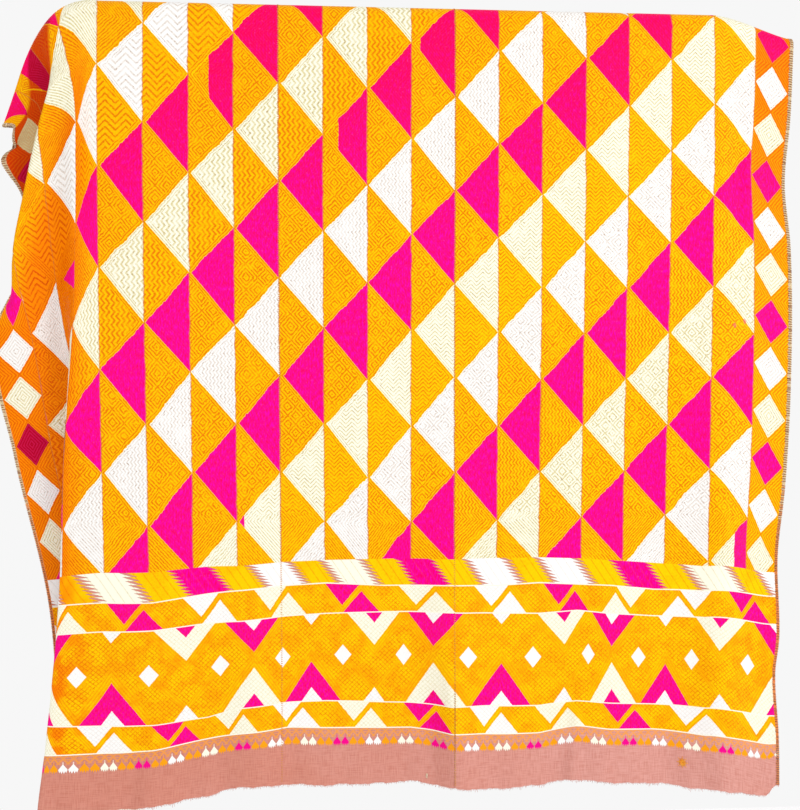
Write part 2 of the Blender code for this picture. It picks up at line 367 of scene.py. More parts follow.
def ridge_point(across):
    """Place of the fold that drops off the rail's left end."""
    rows = LEFT_RIDGE
    places = [row.across for row in rows] + [LEFT_END, LEFT_END + COLUMN]
    starts = [panel_point(LEFT_END, 0.0), panel_point(LEFT_END + COLUMN, 0.0)]
    x = curve_at(places, [row.x for row in rows] + [start[0] for start in starts], across)
    drop = curve_at(places, [row.drop for row in rows] + [start[2] for start in starts], across)
    return x, 0.0, drop


@functools.lru_cache(maxsize=4)
def creases_at(down):
    """The creases past the rail's left end, crossed at one length down: across, x, out and drop of each."""
    length = abs(down)
    downs = [0.0] + [row.down for row in LEFT_HANGS]
    knots = []
    for name in ("edge", "trough", "cascade", "valley", "ridge"):
        creases = [getattr(row, name) for row in LEFT_HANGS]
        top = ridge_point(creases[0].across)
        acrosses = [creases[0].across] + [crease.across for crease in creases]
        xs = [top[0]] + [crease.x for crease in creases]
        outs = [top[1]] + [crease.out for crease in creases]
        drops = [top[2]] + [crease.drop for crease in creases]
        knots.append([curve_at(downs, values, length) for values in (acrosses, xs, outs, drops)])
    for inner in (LEFT_END, LEFT_END + COLUMN):
        knots.append([inner, *panel_point(inner, down)])
    return list(zip(*knots))


def creased_point(across, down):
    """Place of a point past the rail's left end, on the smooth surface through the creases."""
    length = abs(down)
    places, *values = creases_at(down)
    x, out, drop = [curve_at(places, row, across) for row in values]
    blend = ease(length / LEFT_HANGS[0].down)
    top = ridge_point(across)
    x = top[0] + (x - top[0]) * blend
    drop = top[2] + (drop - top[2]) * blend
    if down < 0:
        x += BACK_TUCK * ease(length / BACK_TUCK_FALL) * (1 - across / LEFT_END)
    return x, out, drop


def overhang_point(across, down):
    """Place of a point past the rail's left end, with the folds rounded."""
    reach = min(ROUNDING, across, LEFT_END - across)
    before, here, after = (creased_point(across + shift, down) for shift in (-reach, 0.0, reach))
    return tuple((a + 2 * b + c) / 4 for a, b, c in zip(before, here, after))


# The left border's edge curls in and out near its top: how far it swings towards +X and forwards.
Curl = namedtuple("Curl", "down inward out")
LEFT_CURLS = (
    Curl(0.085, 0.000, 0.000), Curl(0.120, 0.004, 0.006), Curl(0.138, 0.009, -0.004),
    Curl(0.152, -0.004, 0.000), Curl(0.168, -0.011, 0.008), Curl(0.185, -0.008, 0.006),
    Curl(0.210, 0.001, 0.000), Curl(0.235, 0.004, 0.000), Curl(0.270, 0.000, 0.000),
)
CURL_WIDTH = 0.034
CURL_FALL = 1.5             # how quickly the curl dies away from the edge


def cloth_point(across, down):
    """Place of the middle of the cloth's wall."""
    if across < LEFT_END:
        x, out, drop = overhang_point(across, down)
        if across < CURL_WIDTH and LEFT_CURLS[0].down < down < LEFT_CURLS[-1].down:
            hold = (1 - across / CURL_WIDTH) ** CURL_FALL
            rows = [row.down for row in LEFT_CURLS]
            x += hold * curve_at(rows, [row.inward for row in LEFT_CURLS], down)
            out += hold * curve_at(rows, [row.out for row in LEFT_CURLS], down)
    else:
        x, out, drop = panel_point(across, down)
    side = 1 if down < 0 else -1
    return x, side * out, -drop


# Soft creases that the drape leaves: a line on the cloth from one place to another, how wide its hollow or
# ridge is, and how far it stands out.
Dent = namedtuple("Dent", "across down to_across to_down width out")
DENTS = (
    Dent(0.560, 0.622, 1.130, 0.612, 0.007, -0.0016),
    Dent(0.560, 0.636, 1.100, 0.626, 0.006, 0.0010),
    Dent(1.228, 0.170, 1.222, 0.350, 0.010, -0.0040),
    Dent(1.200, 0.030, 1.215, 0.170, 0.012, -0.0035),
    Dent(0.792, 1.172, 0.776, 0.960, 0.009, 0.0050),
    Dent(0.750, 1.172, 0.752, 1.020, 0.016, -0.0040),
    Dent(0.972, 1.172, 0.985, 1.010, 0.010, 0.0045),
    Dent(0.300, 1.172, 0.318, 0.930, 0.020, -0.0035),
    Dent(0.540, 1.172, 0.535, 1.040, 0.014, -0.0030),
    Dent(1.120, 1.172, 1.110, 1.030, 0.022, -0.0040),
    Dent(0.640, -0.560, 1.180, -0.575, 0.007, -0.0016),
    Dent(0.420, -1.140, 0.440, -0.900, 0.018, -0.0040),
    Dent(0.690, -1.140, 0.675, -0.960, 0.014, 0.0045),
    Dent(0.905, -1.140, 0.925, -0.930, 0.020, -0.0040),
    Dent(1.235, -0.150, 1.228, -0.420, 0.012, -0.0035),
)
DENT_END = 0.35             # a dent starts at this share of its depth
DENT_GROWTH = 4             # and deepens this fast for each share of its length
HEM_REACH = 0.25            # this close to a hem, a dent runs right out of it
HEM_FALL = 2.5              # and dies away this fast up the cloth

# Long shallow waves of the hanging cloth, and the finer cockle of the plain hem below its silk.
Wave = namedtuple("Wave", "across down start out")
WAVES = (
    Wave(0.310, 2.9, 0.4, 0.0011),
    Wave(0.173, 1.7, 1.9, 0.0007),
    Wave(0.097, -1.1, 0.9, 0.0004),
)
HEM_COCKLES = (
    Wave(0.083, 0.9, 0.3, 0.0016),
    Wave(0.047, -0.7, 1.4, 0.0008),
)
COCKLE_FADE = 0.075

# The seams pull the cloth in a little, in puckers.
SEAM_DIP = 0.0006
SEAM_REACH = 0.009
PUCKER = 0.021
PUCKER_SWING = 0.6
PUCKER_DRIFT = 3            # the puckers' spacing drifts by this much of a turn, in radians
PUCKER_DRIFT_TURN = 19      # and so quickly, in radians for each metre down
RELIEF_START = 0.05         # the relief grows over this length, below the rail


def relief(across, down):
    """How far the cloth stands out of its plain hang, for arrays of places on it."""
    height = np.zeros_like(across)
    to_hem = np.minimum(FRONT_DROP - down, BACK_DROP + down)
    for dent in DENTS:
        run = np.array([dent.to_across - dent.across, dent.to_down - dent.down])
        share = ((across - dent.across) * run[0] + (down - dent.down) * run[1]) / (run @ run)
        held = np.clip(share, 0.0, 1.0)
        away = np.hypot(across - dent.across - held * run[0], down - dent.down - held * run[1])
        inner = np.minimum(share, 1 - share) * DENT_GROWTH + DENT_END
        ends = np.clip(np.where(to_hem < HEM_REACH, (1 - share) * HEM_FALL, inner), 0.0, 1.0)
        height += dent.out * ends * np.exp(-(away / dent.width) ** 2)
    loose = np.clip(1 - to_hem / COCKLE_FADE, 0.0, 1.0)
    for waves, strength in ((WAVES, 1.0), (HEM_COCKLES, loose)):
        for wave in waves:
            turn = 2 * math.pi * (across / wave.across + down / wave.down) + wave.start
            height += wave.out * strength * np.sin(turn)
    for seam in (SEAM_LEFT, SEAM_RIGHT):
        drift = PUCKER_DRIFT * np.sin(down * PUCKER_DRIFT_TURN)
        pull = 1 + PUCKER_SWING * np.sin(2 * math.pi * down / PUCKER + drift)
        height -= SEAM_DIP * pull * np.exp(-((across - seam) / SEAM_REACH) ** 2)
    return height * np.clip((np.abs(down) - WRAP) / RELIEF_START, 0.0, 1.0)


# The bands across each end: the name of each, how far from the hem it starts, and its rows of faces.
Band = namedtuple("Band", "name from_hem rows")
BANDS = (
    Band("field", None, None),
    Band("saw_band", 0.330, 7),
    Band("upper_pairs", 0.290, 7),
    Band("lozenge_band", 0.250, 22),
    Band("lower_pairs", 0.119, 7),
    Band("hem_border", 0.080, 5),
    Band("plain_hem", 0.053, 9),
)

# The bands were set out by eye and the hem was cut by eye, so their lines wander on the front: how much
# lower than even each line runs, in millimetres, at places across the shawl.
Drift = namedtuple("Drift", "from_hem lower")
DRIFT_ACROSS = (0.17, 0.33, 0.41, 0.46, 0.53, 0.59, 0.68, 0.72, 0.78, 0.85, 0.92, 0.98, 1.03, 1.10, 1.18,
                1.29, 1.30)
DRIFTS = (
    Drift(0.440, (0,) * len(DRIFT_ACROSS)),
    Drift(0.330, (-5, 1, 0, 1, -4, -6, -7, -7, -6, -7, -7, -5, -2, 3, 8, -12, -14)),
    Drift(0.290, (-4, 4, -1, -4, -10, -13, -8, -8, -8, -7, -10, -7, -5, 2, 4, -16, -18)),
    Drift(0.250, (-1, 4, 2, 1, -5, -8, -9, -9, -8, -6, -4, -8, -3, 2, 4, -13, -15)),
    Drift(0.119, (2, 9, 8, -3, -9, -10, -6, -5, -1, 1, 3, -4, 0, 4, 9, -4, -6)),
    Drift(0.080, (6, 6, 0, -5, -11, -9, -7, -7, 0, 4, 5, -6, 0, 3, 11, 0, -2)),
    Drift(0.000, (12, 8, 4, -7, -6, -3, -4, -7, 1, 7, 3, -5, 1, 5, 14, 0, -18)),
)

# The cut itself was snipped unevenly, within its last few millimetres.
RAGGED_REACH = 0.012
RAGS = (Wave(0.0571, 0.0, 0.2, 0.0007), Wave(0.0297, 0.0, 1.1, 0.0005), Wave(0.0137, 0.0, 2.6, 0.0005))

# How finely the cloth is worked out: down the field, and across the overhang and the rest.
FIELD_ROW = 0.0072
OVERHANG_COLUMN = 0.0042
PANEL_COLUMN = 0.0055
PATTERN_COLUMNS = 18
NEAR = 0.001                # places closer than this count as the same


def wander(across, down):
    """How much lower the bands' lines run, for arrays of places across and of even lengths down."""
    lines = [FRONT_DROP - row.from_hem for row in DRIFTS]
    rows = [np.interp(across, DRIFT_ACROSS, row.lower) / 1000 for row in DRIFTS]
    lower = np.zeros_like(across)
    for top, foot, start, end in zip(lines, lines[1:], rows, rows[1:]):
        share = np.clip((down - top) / (foot - top), 0.0, 1.0)
        lower = lower + (end - start) * share
    to_hem = np.where(down > 0, FRONT_DROP, BACK_DROP) - abs(down)
    at_hem = np.clip(1 - to_hem / RAGGED_REACH, 0.0, 1.0)
    for wave in RAGS:
        turn = 2 * math.pi * across / wave.across + wave.start
        lower = lower + np.sign(down) * at_hem * wave.out * np.sin(turn)
    return lower


def even(start, end, step):
    """Even places from start to end, about a step apart, without the last."""
    count = max(1, round(abs(end - start) / step))
    return [start + (end - start) * i / count for i in range(count)]


def rows_of(drop):
    """Lengths down one drop, from the fold to the hem, with the name of the band that each row opens."""
    starts = [0.0] + [drop - band.from_hem for band in BANDS[1:]] + [drop]
    downs = []
    names = []
    for band, start, end in zip(BANDS, starts, starts[1:]):
        step = (end - start) / band.rows if band.rows else FIELD_ROW
        places = even(start, end, step)
        downs += places
        names += [band.name] * len(places)
    return downs + [drop], names


def columns_of(start, end):
    """Places across a strip, which fall on each line of the pattern."""
    lines = [0.0] + [BORDER + i * COLUMN for i in range(PATTERN_COLUMNS + 1)] + [CLOTH_WIDTH]
    places = []
    for low, high in zip(lines, lines[1:]):
        if start - NEAR <= low and high <= end + NEAR:
            step = OVERHANG_COLUMN if high <= LEFT_END + NEAR else PANEL_COLUMN
            places += even(low, high, step)
    places.append(end)
    places[0] = start
    return places


# Where the pattern's lozenges meet along its upright lines: the first corner below the fold, and from
# corner to corner. They were counted by eye, so both drift across the shawl.
Line = namedtuple("Line", "number first pitch")
LINES = (
    Line(-3, 0.094, 0.1450), Line(-1, 0.106, 0.1472), Line(0, 0.109, 0.1473), Line(1, 0.120, 0.1460),
    Line(2, 0.120, 0.1458), Line(3, 0.130, 0.1440), Line(5, 0.134, 0.1432), Line(6, 0.137, 0.1443),
    Line(7, 0.139, 0.1425), Line(8, 0.147, 0.1398), Line(9, 0.147, 0.1404), Line(10, 0.153, 0.1384),
    Line(12, 0.156, 0.1373), Line(14, 0.152, 0.1379), Line(15, 0.131, 0.1398),
)

# The top of the overhang is hitched this much lower than the cloth beside it. The hitch grows from one
# place across towards the left edge, and ends at one length down.
HITCH = 0.016
HITCH_ACROSS = 0.215
HITCH_GROWTH = 0.030
HITCH_END = 0.10
HITCH_FALL = 0.08

# The side borders' diamonds: the middle of one of them, from one to the next, and how much lower than even
# they lie, at lengths down.
LEFT_DIAMOND = -0.043
LEFT_DIAMOND_PITCH = 0.0746
RIGHT_DIAMOND = 0.0152
RIGHT_DIAMOND_PITCH = 0.0723
SLACK_DOWN = (0.00, 0.02, 0.13, 0.38)
LEFT_SLACK = (-0.020, -0.012, 0.024, 0.000)
RIGHT_SLACK = (0.008, 0.008, 0.007, 0.002)

# Places along each end band, from the left edge: where each slanting bar starts at the band's top, the
# middle of each pair of triangles, and where two big lozenges meet.
BAND_PLACES = {
    "saw_band": (-0.140, -0.020, 0.100, 0.225, 0.357, 0.479, 0.587, 0.700, 0.808, 0.920, 1.033, 1.150,
                 1.275, 1.390),
    "upper_pairs": (-0.024, 0.084, 0.193, 0.301, 0.416, 0.518, 0.629, 0.743, 0.859, 0.964, 1.050, 1.152,
                    1.250, 1.360),
    "lozenge_band": (-0.030, 0.070, 0.174, 0.267, 0.378, 0.480, 0.567, 0.664, 0.754, 0.860, 0.960, 1.033,
                     1.120, 1.201, 1.306, 1.410),
    "lower_pairs": (-0.040, 0.070, 0.162, 0.256, 0.365, 0.452, 0.540, 0.646, 0.745, 0.846, 0.952, 1.057,
                    1.168, 1.282, 1.390),
}
MOTIF_PITCH = 0.0125


def pattern_place(region, across, down):
    """The two numbers from which a region's embroidery is drawn, for arrays of places on it."""
    along = np.where(down >= 0, across, CLOTH_WIDTH - across)
    to_hem = np.where(down >= 0, FRONT_DROP - down, BACK_DROP + down)
    if region == "field":
        column = (across - BORDER) / COLUMN - LEFT_OF_ZERO
        hitched = np.clip((HITCH_ACROSS - across) / HITCH_GROWTH, 0.0, 1.0)
        hitched = hitched * np.clip((HITCH_END - abs(down)) / HITCH_FALL, 0.0, 1.0)
        down = down - hitched * HITCH
        numbers = [line.number for line in LINES]
        corners = []
        for number in (np.floor(column), np.floor(column) + 1):
            first = np.interp(number, numbers, [line.first for line in LINES])
            pitch = np.interp(number, numbers, [line.pitch for line in LINES])
            corners.append((down - first) / pitch)
        return column, corners[0] + (corners[1] - corners[0]) * (column - np.floor(column))
    if region == "left_border":
        slack = np.interp(down, SLACK_DOWN, LEFT_SLACK)
        return across / BORDER * 2 - 1, (down - slack - LEFT_DIAMOND) / LEFT_DIAMOND_PITCH
    if region == "right_border":
        down = down - np.interp(down, SLACK_DOWN, RIGHT_SLACK)
        return (CLOTH_WIDTH - across) / BORDER * 2 - 1, (down - RIGHT_DIAMOND) / RIGHT_DIAMOND_PITCH
    number = [band.name for band in BANDS].index(region)
    top = BANDS[number].from_hem
    foot = BANDS[number + 1].from_hem if number + 1 < len(BANDS) else 0.0
    share = (top - to_hem) / (top - foot)
    if region == "hem_border":
        return along / MOTIF_PITCH, share
    if region in BAND_PLACES:
        places = BAND_PLACES[region]
        return np.interp(along, places, np.arange(len(places))), share
    return along, share


REGION_FINISH = {
    "field": 0, "left_border": 1, "right_border": 1, "saw_band": 2, "upper_pairs": 3, "lower_pairs": 4,
    "lozenge_band": 5, "hem_border": 6, "plain_hem": 7,
}


# Silks and ground, as seen in the studio's light. The gold was dyed in several lots and varies in tone.
# Painted shade: the gold, pale and pink silks in the pocket behind the left fold. The same crimson serves
# one diamond of the left border.
GOLD_PAINTED_SHADE = dye(206, 56, 0)
PINK_SHADE_AND_CRIMSON = dye(178, 0, 40)
PALE_PAINTED_SHADE = dye(212, 176, 124)
GOLD_DEEP = dye(250, 119, 0)
GOLD = dye(251, 184, 0)
GOLD_LIGHT = dye(254, 205, 0)
GOLD_LINE = dye(226, 118, 4)
# Painted shade: the gold's stitch lines over the left folds and in the pocket; deeper along the right
# border.
GOLD_LINE_SHADE_AND_BORDER = dye(214, 76, 0)
PINK_DEEP = dye(242, 0, 80)
PINK = dye(246, 0, 138)
# Painted sheen: the pink's light streaks.
PINK_SHEEN = dye(250, 0, 182)
PINK_LINE = dye(236, 40, 110)
PINK_FLECK = dye(248, 72, 164)
CREAM = dye(249, 246, 226)
CREAM_LINE = dye(216, 204, 152)
WHITE = dye(248, 246, 243)
WHITE_LINE = dye(224, 215, 206)
STITCH_HOLE = dye(150, 112, 84)
GROUND = dye(211, 140, 122)
GROUND_LIGHT = dye(220, 158, 147)
GROUND_DARK = dye(180, 100, 82)
EDGE_CREAM = dye(226, 196, 148)
EDGE_ORANGE = dye(240, 146, 84)
COLUMN_SHADE = dye(206, 118, 52)
BARE_EDGE = 0.0048           # the silk stops this far from the shawl's long edges

# The silk that each letter stands for, its stitch lines, and whether it is pink.
SILKS = {"P": PINK, "C": CREAM, "W": WHITE}
SILK_LINES = {"P": PINK_LINE, "C": CREAM_LINE, "W": WHITE_LINE}
IS_PINK = {"P": (1.0, 1.0, 1.0, 1.0), "C": (0.0, 0.0, 0.0, 1.0), "W": (0.0, 0.0, 0.0, 1.0)}

SILK_SHINE = 0.03
SILK_ROUGHNESS = 0.42
SILK_RELIEF = 0.0005
GROUND_RELIEF = 0.0004
THREAD = 0.0012             # the width of the ground's uneven threads
THREAD_STRETCH = 0.06       # a slub's width against its length
DOT_PITCH = 0.0032

# Where the silk and the ground grow paler, from one length down and one place across to another.
PALER_DOWN = (-0.05, 0.40)
PALER_ACROSS = (0.20, 1.15)
PALER_ACROSS_GROUND = (0.2, 1.25)

# Slanting lines on the cloth that bound the painted shade of the left folds: the large fold's side, the
# valley beside it and the pocket behind it. Each starts across the top and slopes towards the left edge.
Slant = namedtuple("Slant", "slope start")
LARGE_FOLD = Slant(0.43, 0.193)
VALLEY = Slant(0.5, 0.255)
POCKET = Slant(1.8, 0.150)

# The field's diagonals, from the lowest on the back drop to the lowest on the front: the silk of each one,
# and the small pattern laid in its light half and in its gold half.
FIRST_DIAGONAL = -16
SILK_ROWS = "WPCPWPCPWCPWCWPCWPCPWPCWPCPWCP"
LIGHT_ROWS = "DFLFDFUFDUFLUSFSLFUFuFlDFdFddF"
GOLD_ROWS = "dDLDUDdDUDlDULDSLDUDDdlDuddddd"

# The kinds of small pattern: level zigzags, upright zigzags, nested diamonds, rows along the slanting sides
# and plain satin. Each pattern has its kind, its size against the largest of its kind, and its rings.
LEVEL, UPRIGHT, NESTED, SLANTED, SATIN = range(5)
MOST_RINGS = 3
Filling = namedtuple("Filling", "kind size rings")
FILLINGS = {
    "L": Filling(LEVEL, 1.00, 0), "l": Filling(LEVEL, 0.60, 0), "U": Filling(UPRIGHT, 1.00, 0),
    "u": Filling(UPRIGHT, 0.72, 0), "D": Filling(NESTED, 1.00, MOST_RINGS), "d": Filling(NESTED, 0.68, 2),
    "S": Filling(SLANTED, 1.00, 0), "F": Filling(SATIN, 1.00, 0),
}
EDGE_ROWS = 0.0078          # this close to a slanting side, the rows run along it
LEVEL_PITCH = 0.0098
LEVEL_ZIGZAG = 0.0300
LEVEL_RISE = 0.0150
UPRIGHT_PITCH = 0.0074
UPRIGHT_ZIGZAG = 0.0125
UPRIGHT_SWING = 0.0050
DIAMOND_SHARE = 0.52        # a large nest of diamonds against the column's width
SIDE_PITCH = 0.0038
SIDE_SCALE = 0.098          # metres square to a slanting side for each lozenge of height

# The coloured halves' tips stop short of the line on their left by this share of a column, and some more.
TIP_GAP = 0.012
TIP_GAP_SPREAD = 0.075

# Places where the embroiderer cut a triangle short in gold: its diagonal, its column and how much of it.
Slip = namedtuple("Slip", "diagonal column share")
SLIPS = (Slip(1, 2, 0.46), Slip(3, 5, 0.35), Slip(3, 7, 0.20), Slip(0, -3, 1.10), Slip(-2, -3, 0.40))
SWAPPED = Slip(1, -3, 1.0)  # and where white was taken for pink
SMALL = Slip(1, -2, 0.35)   # and where the pink triangle was worked small
PINK_TIP = Slip(6, 3, 0.17)     # a cream triangle whose tip is pink
PINK_END = Slip(12, 14, 0.65)   # and one that is pink beyond this share of its column

# Small darns in pink, on the cream near the right border: the middle of each, across and down.
DARNS = ((1.232, 0.468), (1.216, 0.480))
DARN_REACH = 0.0042
LAST_ROWS = 0.405           # closer to the hem than this, the field's rows all run along the slanting sides

# The side border's diamonds, in shares of its half width and of their pitch, and their size in metres. Two
# of the left ones differ, counted from the one just behind the fold: an extra pink one and a crimson one.
DIAMOND_OFF = 0.09
DIAMOND_WIDE = 0.86
DIAMOND_HIGH = 0.46
DIAMOND_SCALE = 0.0205
EXTRA_PINK = 1.0
CRIMSON_DIAMOND = 9.0

# The saw band: the silk of each bar, from bar to bar, how far they lean, their width, the rows of stitches,
# and the teeth along each side, with bare ground past them.
SAW_LETTERS = "PWWCPWCPWWPCWP"
SAW_PITCH = 0.1155
BAR_LEAN = 0.24
BAR = 0.055
BAR_ROWS = 0.0110
TEETH = 7.3
TOOTH = 0.0125
BARE_TOOTH = 0.0085
BARE_TOOTH_LESS = 0.0060    # how much narrower the bare teeth are beside pink

# The pairs of triangles, in shares of their band's height and of their pitch.
EDGE_LINE = 0.0015          # the line of cream silk along the top of a band
HANGING_HIGH = 0.76
STANDING_HIGH = 0.74
PAIR_APART = 0.13
PAIR_WIDE = 0.245
PAIR_SCALE = 0.0225

# The triangles between the big lozenges, large ones and small ones inside them, from the band's top or its
# foot: how high and half how wide they are, their silks, and which of each three is left out.
Figure = namedtuple("Figure", "high half silks at_foot missing")
BAND_FIGURES = (
    Figure(0.37, 0.44, "PWC", False, 1), Figure(0.125, 0.15, "WWP", False, None),
    Figure(0.45, 0.46, "CPW", True, 2), Figure(0.155, 0.17, "PWW", True, None),
)
FIGURE_ROWS = 0.0042
LOZENGE_SCALE = 0.036
WHITE_WIDE = 0.135
WHITE_HIGH = 0.115
WHITE_MIDDLE = 0.48

# The last border's lattice and spades, in shares of its height.
LATTICE_HIGH = 0.44
SPADE_TOP = 0.48
SPADE_FOOT = 0.94
SPADE_GOLD = dye(248, 160, 16)


def cloth_readings(tree):
    """Places on the cloth in metres, and the two numbers of its pattern."""
    readings = []
    for name in ("cloth", "pattern"):
        node = tree.nodes.new("ShaderNodeUVMap")
        node.uv_map = name
        readings += parts_of(tree, node.outputs[0])[:2]
    return readings


def chart(tree, index, first, letters, values):
    """A colour for each whole number of the index, from a row of letters."""
    node = tree.nodes.new("ShaderNodeValToRGB")
    ramp = node.color_ramp
    ramp.interpolation = "CONSTANT"
    share = (index - (first - 0.5)) / float(len(letters))
    tree.links.new(share.socket, node.inputs[0])
    ramp.elements.remove(ramp.elements[1])
    for i, letter in enumerate(letters):
        if i == 0 or letter != letters[i - 1]:
            stop = ramp.elements.new(i / len(letters)) if i else ramp.elements[0]
            stop.position = i / len(letters)
            stop.color = values[letter]
    return node.outputs[0]


def filling_chart(tree, index, letters):
    """The kind, size and rings of the small pattern of each diagonal."""
    most = max(SATIN, MOST_RINGS + 1)
    values = {key: (row.kind / most, row.size, row.rings / most, 1.0) for key, row in FILLINGS.items()}
    parts = tree.nodes.new("ShaderNodeSeparateColor")
    tree.links.new(chart(tree, index, FIRST_DIAGONAL, letters, values), parts.inputs[0])
    kind, size, rings = (Reading(tree, parts.outputs[i]) for i in range(3))
    return kind * most, size, rings * most


def choose(choice, first, second):
    """The first reading where the choice is 1, and the second where it is 0."""
    return choice * first + (1.0 - choice) * second


def furrow(phase, width):
    """1 along a line at each whole number of the phase, fading out at the width on each side."""
    return ((1.0 - abs((phase + 0.5).fraction() - 0.5) / width) * 1.7).held()


def zigzag(phase):
    """Goes from 1 down to 0 and back in straight lines, once for each whole number."""
    return abs(phase.fraction() - 0.5) * 2.0


class Silks:
    """A finish of the embroidered cloth: its places, its unevenly dyed silks with painted shade and painted
    sheen, and their stitch lines.
    """

    def __init__(self, name):
        self.finish, self.tree, self.shader = new_finish(name, specular=SILK_SHINE)
        self.across, self.down, *self.pattern = cloth_readings(self.tree)
        self.broad = self.patches(0.045)
        self.lots = self.patches(0.026, layer=11.0).rise(0.38, 0.62)
        self.fine = self.patches(0.0036)
        self.strands_and_sheen = self.patches(0.0024, detail=1.0, stretch=0.3)
        self.shake = self.patches(0.0042, detail=1.0) - 0.5
        self.sway = self.patches(0.022, detail=1.0, layer=3.0) - 0.5
        self.set_light()
        gold = mix(self.tree, self.paler_share.held(), GOLD, GOLD_LIGHT)
        uneven = (self.fine - 0.5 + self.broad * 0.3).rise(0.0, 0.4) * 0.30
        gold = mix(self.tree, uneven, gold, GOLD_DEEP)
        # Painted shade: deeper gold over the left folds and darker gold in the pocket behind the large fold.
        # Along the right border the gold is deeper too, most near the rail. The stitch lines follow.
        gold = mix(self.tree, self.fold_shade_and_border * 0.80, gold, GOLD_DEEP)
        self.gold = mix(self.tree, self.pocket_shade, gold, GOLD_PAINTED_SHADE)
        self.gold_line = mix(self.tree, self.fold_shade_and_border.most(self.pocket_shade) * 0.8, GOLD_LINE, GOLD_LINE_SHADE_AND_BORDER)

    def patches(self, size, detail=2.0, layer=0.0, stretch=1.0):
        """Soft uneven patches on the cloth, drawn out down it by the stretch."""
        return mottle(self.tree, spot(self.tree, self.across, self.down * stretch, layer), size, detail)

    def set_light(self):
        """Where the gold is paler, the painted shade over the left folds with the right border's deeper
        gold, and the darker painted shade in the pocket behind the left fold.
        """
        across, down = self.across, self.down
        self.paler_share = down.rise(*PALER_DOWN) * 0.42 + across.rise(*PALER_ACROSS) * 0.42 + self.broad - 0.40
        # Painted shade over the left folds; along the right border a deeper gold, most near the rail.
        past_fold = across + down * LARGE_FOLD.slope - LARGE_FOLD.start
        in_valley = (across + down * VALLEY.slope - VALLEY.start).rise(-0.020, 0.020) * 0.63 + 0.37
        in_fold = (past_fold.rise(0.0, 0.024) * in_valley).most(down.rise(0.36, 0.46))
        in_fold = (1.0 - across.rise(0.18, 0.26)) * in_fold
        in_border = 1.0 - (CLOTH_WIDTH - BORDER - across).rise(-0.004, 0.004)
        self.fold_shade_and_border = in_fold.most(in_border * (1.0 - down.rise(0.0, 0.60) * 0.80))
        # Painted shade, darker, in the pocket behind the large fold near the top of the overhang.
        behind_fold = (across + down * POCKET.slope - POCKET.start).rise(-0.008, 0.008)
        self.pocket_shade = behind_fold * (1.0 - down.rise(0.22, 0.32)) * (1.0 - past_fold.rise(-0.010, 0.002))

    def dyed(self, index, first, letters):
        """The silk for each letter, its stitch lines, and where it is pink.

        The pinks run from crimson near the rail to magenta further down, with painted sheen in short light
        and dark streaks along the strands, and painted shade in the pocket behind the left fold."""
        tree = self.tree
        silk = chart(tree, index, first, letters, SILKS)
        paler_share = (abs(self.down) + self.across * 0.08).rise(0.06, 0.48)
        pink = mix(tree, paler_share * 0.8 + self.broad * 0.2, PINK_DEEP, PINK)
        # Painted sheen: light streaks along the strands and deeper pink between them.
        pink = mix(tree, self.strands_and_sheen.rise(0.50, 0.68) * (paler_share * 0.6 + 0.2), pink, PINK_SHEEN)
        pink = mix(tree, (1.0 - self.strands_and_sheen.rise(0.30, 0.45)) * 0.7, pink, PINK_DEEP)
        pink = mix(tree, self.fine.rise(0.62, 0.74) * 0.38, pink, PINK_FLECK)
        is_pink = Reading(tree, chart(tree, index, first, letters, IS_PINK))
        # Painted shade: the pale and pink silks darken in the pocket behind the left fold.
        pale = mix(tree, self.pocket_shade, silk, PALE_PAINTED_SHADE)
        silk = mix(tree, is_pink, pale, mix(tree, self.pocket_shade, pink, PINK_SHADE_AND_CRIMSON))
        return silk, chart(tree, index, first, letters, SILK_LINES), is_pink

    def lined(self, colour, line, line_colour, is_light):
        """The colour with its stitch lines, and the small holes that show along them in the pale silks."""
        colour = mix(self.tree, line, colour, line_colour)
        holes = line.rise(0.35, 0.8) * self.fine.rise(0.56, 0.66) * is_light
        return mix(self.tree, holes * 0.5, colour, STITCH_HOLE)

    def basket(self, pitch):
        """The crosswise laying of the end bands: bright blocks between slanting lines."""
        bend = self.shake * 0.25 + self.sway * 0.5
        ways = [furrow((self.across + self.down * slope) / pitch + bend, 0.17) for slope in (1.1, -1.1)]
        return ways[0].most(ways[1]) * (self.fine.rise(0.3, 0.6) * 0.55 + 0.25)

    def band_gold(self):
        """The gold of the end bands, which came from several lots."""
        deeper = mix(self.tree, self.broad * 0.55, self.gold, GOLD_DEEP)
        return mix(self.tree, self.lots * 0.75, deeper, GOLD_LIGHT)

    def edged(self, colour):
        """The colour, giving way to the blanket stitch's silk along the shawl's two long edges."""
        to_edge = self.across.least(CLOTH_WIDTH - self.across)
        bare = 1.0 - to_edge.rise(BARE_EDGE - 0.0008, BARE_EDGE + 0.0004)
        binding = mix(self.tree, self.down.rise(0.66, 0.86), EDGE_CREAM, EDGE_ORANGE)
        return mix(self.tree, bare, colour, binding)

    def laid(self, colour, hollow, bare=0.0):
        """The finish, given its colour, how deep its lines lie and where it is rough."""
        roughness = self.fine * 0.15 + SILK_ROUGHNESS + bare
        wear(self.tree, self.shader, colour, roughness, 1.0 - hollow + self.strands_and_sheen * 0.4, SILK_RELIEF)
        return self.finish


